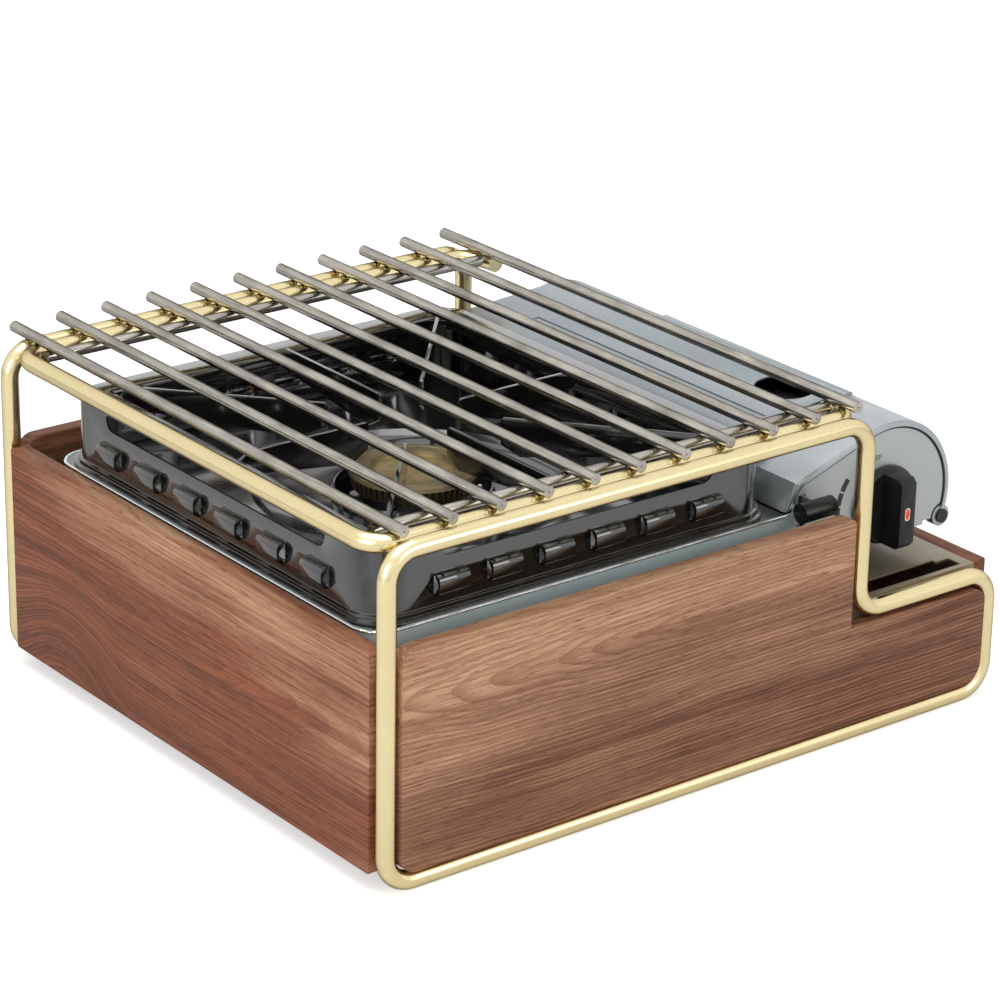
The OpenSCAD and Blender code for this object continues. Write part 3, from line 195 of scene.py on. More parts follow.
def vector_sum(tree, first, second):
    return add_node(tree, "ShaderNodeVectorMath", {0: first, 1: second},
                    operation="ADD").outputs[0]


def from_point(tree, vector, point):
    """The vector as it is measured from a point."""
    return add_node(tree, "ShaderNodeVectorMath", {0: vector, 1: point},
                    operation="SUBTRACT").outputs[0]


def stretched(tree, vector, scale, turn=(0, 0, 0)):
    made = add_node(tree, "ShaderNodeMapping", {
        "Vector": vector, "Scale": scale, "Rotation": turn})
    return made.outputs["Vector"]


def new_group(name, inputs, outputs):
    """An empty shader group with those sockets; returns the tree, its input and output nodes."""
    tree = bpy.data.node_groups.new(name, "ShaderNodeTree")
    kinds = {"float": "NodeSocketFloat", "vector": "NodeSocketVector", "colour": "NodeSocketColor"}
    for socket, kind in inputs:
        tree.interface.new_socket(socket, in_out="INPUT", socket_type=kinds[kind])
    for socket, kind in outputs:
        tree.interface.new_socket(socket, in_out="OUTPUT", socket_type=kinds[kind])
    return tree, tree.nodes.new("NodeGroupInput"), tree.nodes.new("NodeGroupOutput")


def walnut_group():
    """Figured wood whose rings lie round the X axis of the vector that it is given."""
    tree, given, out = new_group(
        "Walnut figure",
        [("Vector", "vector"), ("Shade", "float"), ("Figure", "float"), ("Dark", "colour"),
         ("Middle", "colour"), ("Light", "colour")],
        [("Colour", "colour"), ("Roughness", "float"), ("Height", "float")])
    vector = given.outputs["Vector"]
    wander = noise(tree, stretched(tree, vector, (3.0, 14, 14)), 1.0, 3.0, 0.5)
    push = arithmetic(tree, "MULTIPLY", arithmetic(tree, "SUBTRACT", wander, 0.5), 0.016)
    offset = add_node(tree, "ShaderNodeCombineXYZ", {"X": 0.0, "Y": push, "Z": push}).outputs[0]
    bent = vector_sum(tree, vector, offset)
    rings = add_node(tree, "ShaderNodeTexWave", {
        "Vector": bent, "Scale": 140.0, "Distortion": 7.0, "Detail": 2.0,
        "Detail Scale": 0.14, "Detail Roughness": 0.5},
        wave_type="RINGS", rings_direction="X", wave_profile="SAW").outputs["Fac"]
    lines = noise(tree, stretched(tree, bent, (2.6, 90, 800)), 1.0, 3.0, 0.65)
    fibre = noise(tree, stretched(tree, vector, (20, 240, 1300)), 1.0, 4.0, 0.65)
    streak = noise(tree, stretched(tree, bent, (2.2, 60, 110)), 1.0, 3.0, 0.55)
    pore = noise(tree, stretched(tree, vector, (110, 600, 1700)), 1.0, 2.0, 0.5)
    pore = remap(tree, pore, 0.58, 0.68, 0.0, 1.0)
    tone = blend_colour(tree, given.outputs["Shade"], given.outputs["Light"],
                        given.outputs["Middle"])
    deep = blend_colour(tree, given.outputs["Shade"], given.outputs["Middle"],
                        given.outputs["Dark"])
    ring_share = arithmetic(tree, "MULTIPLY", remap(tree, rings, 0.45, 0.95, 0.0, 1.0),
                            given.outputs["Figure"])
    tone = blend_colour(tree, ring_share, tone, deep)
    tone = blend_colour(tree, remap(tree, streak, 0.42, 0.66, 0.0, 0.55), tone, deep)
    tone = blend_colour(tree, remap(tree, lines, 0.46, 0.62, 0.0, 0.72), tone, deep)
    tone = blend_colour(tree, remap(tree, fibre, 0.42, 0.66, 0.0, 0.45), tone, deep)
    tone = blend_colour(tree, arithmetic(tree, "MULTIPLY", pore, 0.5), tone, given.outputs["Dark"])
    rough = arithmetic(tree, "ADD", remap(tree, fibre, 0.3, 0.7, 0.46, 0.6),
                       arithmetic(tree, "MULTIPLY", pore, 0.15))
    height = arithmetic(tree, "SUBTRACT", arithmetic(tree, "MULTIPLY", lines, 0.5), pore)
    tree.links.new(tone, out.inputs["Colour"])
    tree.links.new(rough, out.inputs["Roughness"])
    tree.links.new(height, out.inputs["Height"])
    return tree


def brushed_group():
    """Fine parallel lines; Stretch gives the pattern's fineness along each axis."""
    tree, given, out = new_group(
        "Brushed lines", [("Vector", "vector"), ("Stretch", "vector")],
        [("Shade", "float"), ("Height", "float")])
    lines = noise(tree, stretched(tree, given.outputs["Vector"], given.outputs["Stretch"]),
                  1.0, 4.0, 0.7)
    smear = noise(tree, given.outputs["Vector"], 38.0, 3.0, 0.5)
    shade = arithmetic(tree, "ADD", arithmetic(tree, "MULTIPLY", lines, 0.6),
                       arithmetic(tree, "MULTIPLY", smear, 0.4))
    tree.links.new(shade, out.inputs["Shade"])
    tree.links.new(lines, out.inputs["Height"])
    return tree


def coat_group():
    """Sprayed coat: metal flakes, slow changes of tone and a faint orange peel."""
    tree, given, out = new_group(
        "Sprayed coat", [("Vector", "vector"), ("Colour", "colour"), ("Flake", "float")],
        [("Colour", "colour"), ("Roughness", "float"), ("Height", "float")])
    vector = given.outputs["Vector"]
    flake = add_node(tree, "ShaderNodeTexVoronoi", {"Vector": vector, "Scale": 2600.0})
    sparkle = remap(tree, flake.outputs["Color"], 0.2, 1.0, 0.0, 1.0)
    sparkle = arithmetic(tree, "MULTIPLY", sparkle, given.outputs["Flake"])
    slow = noise(tree, vector, 9.0, 3.0, 0.5)
    tone = blend_colour(tree, sparkle, given.outputs["Colour"], (0.9, 0.92, 0.94))
    shaded = blend_colour(tree, remap(tree, slow, 0.3, 0.8, 0.0, 0.16), tone, (0.02, 0.02, 0.02))
    peel = noise(tree, vector, 420.0, 2.0, 0.5)
    tree.links.new(shaded, out.inputs["Colour"])
    tree.links.new(remap(tree, slow, 0.3, 0.7, 0.26, 0.36), out.inputs["Roughness"])
    tree.links.new(peel, out.inputs["Height"])
    return tree


def stain_group():
    """Blotches of heat and age between two colours."""
    tree, given, out = new_group(
        "Heat and age", [("Vector", "vector"), ("Clean", "colour"), ("Stained", "colour"),
                         ("Scale", "float")],
        [("Colour", "colour"), ("Roughness", "float"), ("Height", "float")])
    vector = given.outputs["Vector"]
    blotch = noise(tree, vector, given.outputs["Scale"], 6.0, 0.6)
    amount = remap(tree, blotch, 0.38, 0.68, 0.0, 1.0)
    fine = noise(tree, vector, 900.0, 3.0, 0.6)
    tree.links.new(blend_colour(tree, amount, given.outputs["Clean"], given.outputs["Stained"]),
                   out.inputs["Colour"])
    tree.links.new(remap(tree, amount, 0.0, 1.0, 0.28, 0.5), out.inputs["Roughness"])
    tree.links.new(fine, out.inputs["Height"])
    return tree


GROUP_MAKERS = {"walnut": walnut_group, "brushed": brushed_group, "coat": coat_group,
                "stain": stain_group}
groups = {}


def use_group(tree, name, **inputs):
    if name not in groups:
        groups[name] = GROUP_MAKERS[name]()
    made = tree.nodes.new("ShaderNodeGroup")
    made.node_tree = groups[name]
    for socket_name, value in inputs.items():
        socket = made.inputs[socket_name]
        if isinstance(value, bpy.types.NodeSocket):
            tree.links.new(value, socket)
        elif socket.type == "RGBA":
            socket.default_value = (*value, 1.0)[:4]
        else:
            socket.default_value = value
    return made


# ---------- materials ----------

def new_material(name, **settings):
    """A material with one Principled shader; returns it, its tree, the shader and the
    object coordinates."""
    material = bpy.data.materials.new(name)
    material.use_nodes = True
    tree = material.node_tree
    tree.nodes.clear()
    shader = add_node(tree, "ShaderNodeBsdfPrincipled", settings)
    output = add_node(tree, "ShaderNodeOutputMaterial")
    tree.links.new(shader.outputs["BSDF"], output.inputs["Surface"])
    place = add_node(tree, "ShaderNodeTexCoord").outputs["Object"]
    return material, tree, shader, place


def bump(tree, shader, height, depth, strength):
    made = add_node(tree, "ShaderNodeBump", {"Height": height, "Distance": depth,
                                             "Strength": strength})
    tree.links.new(made.outputs["Normal"], shader.inputs["Normal"])


def walnut_material(name, looks, pith, lean, along, painted_shade, figure, bands=0.16, warm=0.0,
                    knot=None):
    """Oiled walnut. pith is a point on the middle line of the tree and lean that line's slope
    against the board, whose length runs along X or Y. tones are the shares of painted shade at
    the board's two ends and the share of painted shade that its foot adds; the wood is painted
    darker there. figure is the strength of the growth rings, bands that of the broad light and
    dark bands, warm the share of red heartwood, and knot a place and a radius."""
    material, tree, shader, coordinates = new_material(
        name, **{"IOR": 1.45, "Specular IOR Level": 0.32})
    turn = (0, 0, lean) if along == "X" else (0, 0, lean - math.radians(90))
    vector = stretched(tree, from_point(tree, coordinates, pith), (1, 1, 1), turn)
    parts = add_node(tree, "ShaderNodeSeparateXYZ", {"Vector": coordinates}).outputs
    start, end, foot = painted_shade
    low, high = (CAD_LOW.x, CAD_HIGH.x) if along == "X" else (CAD_HIGH.y, CAD_LOW.y)
    # Painted shade: the wood darkens from one end of the board to the other and towards its foot.
    shade = remap(tree, parts[along], low, high, start, end)
    painted_shade_top, painted_shade_foot = 120 * MM, 10 * MM
    shade = arithmetic(tree, "ADD", shade,
                       remap(tree, parts["Z"], painted_shade_top, painted_shade_foot, 0.0, foot))
    if knot:
        place, radius = knot
        rise, darkness = -0.3 * radius, 0.7
        gap = add_node(tree, "ShaderNodeVectorMath", {0: coordinates, 1: place},
                       operation="DISTANCE").outputs["Value"]
        swell = add_node(tree, "ShaderNodeMapRange", {
            "Value": gap, "From Min": 0.0, "From Max": radius, "To Min": 1.0, "To Max": 0.0},
            interpolation_type="SMOOTHERSTEP").outputs["Result"]
        lift = add_node(tree, "ShaderNodeCombineXYZ", {
            "X": 0.0, "Y": 0.0, "Z": arithmetic(tree, "MULTIPLY", swell, rise)}).outputs[0]
        vector = vector_sum(tree, vector, lift)
        shade = arithmetic(tree, "ADD", shade, arithmetic(tree, "MULTIPLY", swell, darkness))
    cloud = noise(tree, stretched(tree, vector, (4, 30, 30)), 1.0, 3.0, 0.55)
    shade = arithmetic(tree, "ADD", shade, remap(tree, cloud, 0.35, 0.65, -bands, bands))
    shade = arithmetic(tree, "MAXIMUM", shade, 0.0)
    middle = tuple((1 - warm) * a + warm * b for a, b in zip(looks.walnut_mid, looks.walnut_red))
    wood = use_group(tree, "walnut", Vector=vector, Shade=arithmetic(tree, "MINIMUM", shade, 1.0),
                     Figure=figure, Dark=looks.walnut_dark, Middle=middle,
                     Light=looks.walnut_light)
    tree.links.new(wood.outputs["Colour"], shader.inputs["Base Color"])
    tree.links.new(wood.outputs["Roughness"], shader.inputs["Roughness"])
    bump(tree, shader, wood.outputs["Height"], 0.12 * MM, 0.6)
    return material


def brushed_material(name, colour, stretch, low, high, depth=0.02 * MM,
                     contrast=0.28, rim=(1, 1, 1), lacquer=0.0):
    """Bare or plated metal with fine lines; low and high are its roughness, rim the share of
    light that it gives back at a glancing angle and lacquer the weight of a clear coat."""
    material, tree, shader, place = new_material(
        name, **{"Metallic": 1.0, "Specular Tint": (*rim, 1), "Coat Weight": lacquer,
                 "Coat Roughness": 0.1})
    lines = use_group(tree, "brushed", Vector=place, Stretch=stretch)
    shade = remap(tree, lines.outputs["Shade"], 0.35, 0.65, 0.0, 1.0)
    dark = tuple((1 - contrast) * c for c in colour)
    tree.links.new(blend_colour(tree, shade, dark, colour), shader.inputs["Base Color"])
    tree.links.new(remap(tree, lines.outputs["Shade"], 0.3, 0.7, low, high),
                   shader.inputs["Roughness"])
    bump(tree, shader, lines.outputs["Height"], depth, 0.5)
    return material


def coated_material(name, colour, flake, metallic, coat=0.3):
    """Sprayed metallic paint."""
    material, tree, shader, place = new_material(
        name, **{"Metallic": metallic, "Coat Weight": coat, "Coat Roughness": 0.12})
    paint = use_group(tree, "coat", Vector=place, Colour=colour, Flake=flake)
    tree.links.new(paint.outputs["Colour"], shader.inputs["Base Color"])
    tree.links.new(paint.outputs["Roughness"], shader.inputs["Roughness"])
    bump(tree, shader, paint.outputs["Height"], 0.015 * MM, 0.5)
    return material


def enamel_material(name, colour):
    """Glassy black enamel with a slow wave in its surface."""
    material, tree, shader, place = new_material(
        name, **{"Coat Weight": 0.5, "Coat Roughness": 0.04, "IOR": 1.9})
    slow = noise(tree, place, 46.0, 2.0, 0.5)
    dust = remap(tree, noise(tree, place, 1400.0, 2.0, 0.5), 0.66, 0.74, 0.0, 0.25)
    tree.links.new(blend_colour(tree, dust, colour, (0.09, 0.09, 0.095)),
                   shader.inputs["Base Color"])
    tree.links.new(remap(tree, slow, 0.3, 0.7, 0.07, 0.17), shader.inputs["Roughness"])
    bump(tree, shader, slow, 0.35 * MM, 0.35)
    return material


def stained_material(name, clean, stained, scale, depth=0.03 * MM, dull=0.0):
    """Metal with blotches of age or of casting skin; dull is added to its roughness."""
    material, tree, shader, place = new_material(name, Metallic=1.0)
    skin = use_group(tree, "stain", Vector=place, Clean=clean, Stained=stained, Scale=scale)
    tree.links.new(skin.outputs["Colour"], shader.inputs["Base Color"])
    tree.links.new(arithmetic(tree, "ADD", skin.outputs["Roughness"], dull),
                   shader.inputs["Roughness"])
    bump(tree, shader, skin.outputs["Height"], depth, 0.5)
    return material


def tint_from_middle(material, box, scale, start, full, share, colour):
    """Blends a colour into a material's own, up to a share, as the distance from a box's
    middle grows from start to full. scale weighs the distance along X, Y and Z."""
    low, high = box
    tree = material.node_tree
    shader = next(n for n in tree.nodes if n.type == "BSDF_PRINCIPLED")
    own = shader.inputs["Base Color"].links[0].from_socket
    place = add_node(tree, "ShaderNodeTexCoord").outputs["Object"]
    weighed = stretched(tree, from_point(tree, place, (low + high) / 2), scale)
    reach = add_node(tree, "ShaderNodeVectorMath", {0: weighed}, operation="LENGTH")
    amount = remap(tree, reach.outputs["Value"], start, full, 0.0, share)
    tree.links.new(blend_colour(tree, amount, own, colour), shader.inputs["Base Color"])


def moulded_material(name, colour, roughness, grain=700.0, depth=0.03 * MM):
    """Moulded plastic or rubber with a fine erosion texture."""
    material, tree, shader, place = new_material(name, **{"Specular IOR Level": 0.36})
    texture = noise(tree, place, grain, 3.0, 0.6)
    slow = noise(tree, place, 30.0, 2.0, 0.5)
    tone = blend_colour(tree, remap(tree, slow, 0.3, 0.7, 0.0, 0.25), colour,
                        tuple(min(1.0, 1.5 * c + 0.01) for c in colour))
    tree.links.new(tone, shader.inputs["Base Color"])
    tree.links.new(remap(tree, texture, 0.3, 0.7, roughness - 0.06, roughness + 0.08),
                   shader.inputs["Roughness"])
    bump(tree, shader, texture, depth, 0.4)
    return material


# ---------- meshes ----------

def smooth_group(angle):
    """Geometry nodes that join a node's loose triangles and shade it smooth up to an angle."""
    name = f"Join and smooth {angle:g}"
    if name in bpy.data.node_groups:
        return bpy.data.node_groups[name]
    tree = bpy.data.node_groups.new(name, "GeometryNodeTree")
    tree.interface.new_socket("Geometry", in_out="INPUT", socket_type="NodeSocketGeometry")
    tree.interface.new_socket("Geometry", in_out="OUTPUT", socket_type="NodeSocketGeometry")
    given = tree.nodes.new("NodeGroupInput")
    out = tree.nodes.new("NodeGroupOutput")
    merge = add_node(tree, "GeometryNodeMergeByDistance", {"Distance": WELD_GAP})
    faces = add_node(tree, "GeometryNodeSetShadeSmooth", domain="FACE")
    edges = add_node(tree, "GeometryNodeSetShadeSmooth", {"Shade Smooth": False}, domain="EDGE")
    measure = add_node(tree, "GeometryNodeInputMeshEdgeAngle")
    sharp = add_node(tree, "FunctionNodeCompare", operation="GREATER_THAN")
    sharp.inputs["B"].default_value = math.radians(angle)
    tree.links.new(measure.outputs["Unsigned Angle"], sharp.inputs["A"])
    tree.links.new(given.outputs[0], merge.inputs["Geometry"])
    tree.links.new(merge.outputs["Geometry"], faces.inputs["Geometry"])
    tree.links.new(faces.outputs["Geometry"], edges.inputs["Geometry"])
    tree.links.new(sharp.outputs["Result"], edges.inputs["Selection"])
    tree.links.new(edges.outputs["Geometry"], out.inputs[0])
    return tree


def dress(node_names, material, angle=SMOOTH_ANGLE, edge=0.0):
    """Gives CAD nodes their material, smooth shading and, where edge is set, rounded edges."""
    for name in node_names:
        piece = NODES[name]
        piece.data.materials.clear()
        piece.data.materials.append(material)
        if edge:
            weld = piece.modifiers.new("Weld", "WELD")
            weld.merge_threshold = WELD_GAP
            rounding = piece.modifiers.new("Edges", "BEVEL")
            rounding.width = edge
            rounding.segments = 2
            rounding.limit_method = "ANGLE"
            rounding.angle_limit = math.radians(EDGE_ANGLE)
        smooth = piece.modifiers.new("Smooth", "NODES")
        smooth.node_group = smooth_group(angle)


def finish_piece(name, mesh_data, body, material):
    """Turns a bmesh into an object that rides on a body."""
    bmesh.ops.remove_doubles(mesh_data, verts=mesh_data.verts, dist=WELD_GAP / 2)
    bmesh.ops.recalc_face_normals(mesh_data, faces=mesh_data.faces)
    mesh = bpy.data.meshes.new(name)
    mesh_data.to_mesh(mesh)
    mesh_data.free()
    piece = bpy.data.objects.new(name, mesh)
    bpy.context.scene.collection.objects.link(piece)
    mesh.materials.append(material)
    smooth = piece.modifiers.new("Smooth", "NODES")
    smooth.node_group = smooth_group(SMOOTH_ANGLE)
    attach(piece, body)


def drawn_out(mesh_data, end, reach):
    """Lengthens a bar from its end face by a vector and returns the new end."""
    grown = bmesh.ops.extrude_face_region(mesh_data, geom=[end, *end.edges])["geom"]
    moved = [part for part in grown if isinstance(part, bmesh.types.BMVert)]
    bmesh.ops.translate(mesh_data, verts=moved, vec=reach)
    return next(part for part in grown if isinstance(part, bmesh.types.BMFace))


def bent_round(mesh_data, end, middle, angle, steps):
    """Bends a bar on from its end face, level round a middle, and returns the new end."""
    grown = bmesh.ops.spin(mesh_data, geom=[end, *end.edges], cent=middle, axis=(0, 0, 1),
                           angle=math.radians(angle), steps=steps)["geom_last"]
    return next(part for part in grown if isinstance(part, bmesh.types.BMFace))


def arc_points(middle, radius, first, last, count):
    """Points on an arc from one angle to another, in degrees."""
    turns = [math.radians(first + (last - first) * step / count) for step in range(count + 1)]
    return [middle + radius * Vector((math.cos(turn), math.sin(turn))) for turn in turns]


def plate(mesh_data, outline, front, back):
    """A plate from an outline of (x, z) points, between two values of y."""
    face = mesh_data.faces.new([mesh_data.verts.new((x, front, z)) for x, z in outline])
    drawn_out(mesh_data, face, (0, back - front, 0))


# ---------- operators ----------

class STOVE_OT_walnut_boards(bpy.types.Operator):
    """Figured walnut on the four boards"""
    bl_idname = "stove.walnut_boards"
    bl_label = "Walnut boards"

    def execute(self, context):
        looks = context.scene.stand_looks
        front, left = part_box("front_panel")[0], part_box("left_panel")[0]
        rear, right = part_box("rear_panel")[1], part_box("right_panel")[1]
        knot_place = (left.x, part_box("left_panel")[1].y - 50 * MM, 22 * MM)
        # Each board's tones are painted shade: the wood is darker towards one end and towards its
        # foot.
        boards = {
            "front_panel": walnut_material(
                "Walnut front", looks, pith=(front.x + 210 * MM, front.y, 98 * MM), lean=0.07,
                along="X", painted_shade=(0.0, 0.42, 0.85), figure=0.8, bands=0.3),
            "rear_panel": walnut_material(
                "Walnut rear", looks, pith=(120 * MM, rear.y - 20 * MM, 20 * MM), lean=-0.05,
                along="X", painted_shade=(0.9, 0.8, 0.2), figure=0.4, warm=0.4),
            "left_panel": walnut_material(
                "Walnut left", looks, pith=(left.x - 12 * MM, 60 * MM, 75 * MM), lean=0.05,
                along="Y", painted_shade=(1.0, 0.4, 0.8), figure=0.32, bands=0.6, warm=0.85,
                knot=(knot_place, 70 * MM)),
            "right_panel": walnut_material(
                "Walnut right", looks, pith=(right.x - 20 * MM, -50 * MM, 10 * MM), lean=-0.05,
                along="Y", painted_shade=(0.95, 1.0, 0.1), figure=0.3, bands=0.3, warm=0.8)}
        for name, wood in boards.items():
            dress([name], wood, edge=looks.board_edge)
        return {"FINISHED"}


class STOVE_OT_brass_frames(bpy.types.Operator):
    """Satin brass on the bent bars"""
    bl_idname = "stove.brass_frames"
    bl_label = "Brass frames"

    def execute(self, context):
        looks = context.scene.stand_looks
        brass = brushed_material("Satin brass", tuple(looks.brass), (700, 700, 700), 0.18, 0.23,
                                 0.006 * MM, contrast=0.12, rim=(0.2, 0.13, 0.05), lacquer=0.7)
        dress(["front_wire_frame", "rear_wire_frame", "top_ring"], brass, angle=40.0)
        return {"FINISHED"}


class STOVE_OT_grate(bpy.types.Operator):
    """Brushed steel rods with a centre mark on each end"""
    bl_idname = "stove.grate"
    bl_label = "Grate"

    def execute(self, context):
        looks = context.scene.stand_looks
        for node, name, stretch in (("grate_rods", "Drawn steel rods", (900, 45, 900)),
                                    ("grate_cross_bars", "Drawn steel cross bars",
                                     (45, 900, 900))):
            dress([node], brushed_material(name, tuple(looks.steel), stretch, 0.14, 0.32,
                                           contrast=0.55, rim=(0.15, 0.15, 0.15)))
        mark = stained_material("Turned centre mark", srgb(96, 96, 94), srgb(136, 134, 128), 900.0)
        marks = bmesh.new()
        low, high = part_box("grate_rods")
        radius = (high.z - low.z) / 2
        proud = 0.02 * MM
        step = (high.x - low.x - 2 * radius) / (ROD_COUNT - 1)
        for index in range(ROD_COUNT):
            for y, turn in ((low.y - proud, 90), (high.y + proud, -90)):
                place = Matrix.Translation((low.x + radius + index * step, y, low.z + radius))
                place @= Matrix.Rotation(math.radians(turn), 4, "X")
                bmesh.ops.create_circle(marks, cap_ends=True, segments=12,
                                        radius=looks.rod_mark / 2, matrix=place)
        finish_piece("rod_end_marks", marks, "grate", mark)
        return {"FINISHED"}


class STOVE_OT_shelf(bpy.types.Operator):
    """Coated sheet shelf, and the small parts of zinc-plated steel"""
    bl_idname = "stove.shelf"
    bl_label = "Shelf"

    def execute(self, context):
        looks = context.scene.stand_looks
        coat = coated_material("Shelf coat", tuple(looks.shelf), 0.2, 0.5)
        dress(["stove_shelf"], coat, edge=0.3 * MM)
        zinc = stained_material("Zinc plate", srgb(190, 190, 186), srgb(150, 150, 146), 220.0)
        dress(["panel_screws", "burner_screws", "fascia_screws", "release_spring", "lever_pin",
               "lock_lever"], zinc)
        return {"FINISHED"}


class STOVE_OT_chassis(bpy.types.Operator):
    """Metallic paint on the chassis, its rolled rim and its feet"""
    bl_idname = "stove.chassis"
    bl_label = "Chassis"

    def execute(self, context):
        looks = context.scene.stove_looks
        paint = coated_material("Chassis paint", tuple(looks.chassis), 0.1, 0.1)
        dress(["chassis"], paint, edge=0.3 * MM)
        partition = coated_material("Partition paint", tuple(looks.chassis), 0.1, 0.3)
        dress(["heat_partition"], partition)
        rubber = moulded_material("Foot rubber", srgb(30, 30, 30), 0.6)
        dress(["chassis_feet"], rubber)
        self.rolled_rim(looks.rim_size)
        return {"FINISHED"}

    def rolled_rim(self, size):
        """A bright rolled rim along the top of the chassis, open at the cartridge side."""
        low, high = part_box("chassis")
        open_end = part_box("heat_partition")[0].x - 8 * MM
        corner, corner_steps = 15 * MM, 10
        sunk = high.z - 0.4 * size
        across = Vector((low.x + corner - open_end, 0, 0))
        along = Vector((0, low.y - high.y + 2 * corner, 0))
        rim = bmesh.new()
        start = Matrix.Translation((open_end, high.y, sunk))
        start @= Matrix.Rotation(math.radians(90), 4, "Y")
        bmesh.ops.create_circle(rim, cap_ends=True, segments=10, radius=size / 2, matrix=start)
        rim.faces.ensure_lookup_table()
        end = drawn_out(rim, rim.faces[0], across)
        end = bent_round(rim, end, (low.x + corner, high.y - corner, sunk), 90, corner_steps)
        end = drawn_out(rim, end, along)
        end = bent_round(rim, end, (low.x + corner, low.y + corner, sunk), 90, corner_steps)
        drawn_out(rim, end, -across)
        bright = brushed_material("Bright rolled edge", srgb(240, 242, 243), (400, 400, 400),
                                  0.1, 0.2, contrast=0.08)
        finish_piece("chassis_rim", rim, "stove", bright)


class STOVE_OT_pan_support(bpy.types.Operator):
    """Black enamel on the pan support and the drip pan"""
    bl_idname = "stove.pan_support"
    bl_label = "Pan support"

    def execute(self, context):
        looks = context.scene.stove_looks
        enamel = enamel_material("Black enamel", tuple(looks.enamel))
        dress(["pan_support"], enamel, angle=38.0, edge=0.3 * MM)
        dress(["drip_pan"], enamel_material("Drip pan enamel", srgb(30, 30, 32)), angle=38.0)
        return {"FINISHED"}


class STOVE_OT_burner(bpy.types.Operator):
    """Aged brass burner and the parts of the gas way"""
    bl_idname = "stove.burner"
    bl_label = "Burner"

    def execute(self, context):
        looks = context.scene.stove_looks
        aged = stained_material("Aged brass", tuple(looks.burner), srgb(112, 94, 60), 60.0,
                                dull=0.14)
        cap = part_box("burner_cap")
        radius = (cap[1].x - cap[0].x) / 2
        dish_edge, ring_edge = radius - 12.5 * MM, radius - 11 * MM
        tint_from_middle(aged, cap, (1, 1, 0), dish_edge, ring_edge, 0.6, srgb(112, 104, 86))
        dress(["burner_cap"], aged, angle=7.0)
        cast = stained_material("Cast alloy", srgb(176, 177, 175), srgb(140, 140, 138), 160.0,
                                depth=0.06 * MM)
        dress(["burner_base", "regulator_body", "regulator_cap"], cast)
        plated = brushed_material("Plated steel", srgb(190, 191, 190), (300, 300, 300), 0.2, 0.34)
        dress(["mixing_tube", "cartridge_carrier", "cartridge_collar"], plated)
        turned = brushed_material("Turned brass", srgb(214, 184, 112), (300, 1200, 300), 0.2, 0.34)
        dress(["gas_nozzle", "valve_shaft", "cartridge_valve"], turned)
        glazed = moulded_material("Glazed ceramic", srgb(238, 235, 226), 0.2, 300.0)
        dress(["igniter_electrode"], glazed)
        dress(["igniter_lead"], moulded_material("Lead sleeve", srgb(168, 48, 38), 0.5))
        return {"FINISHED"}


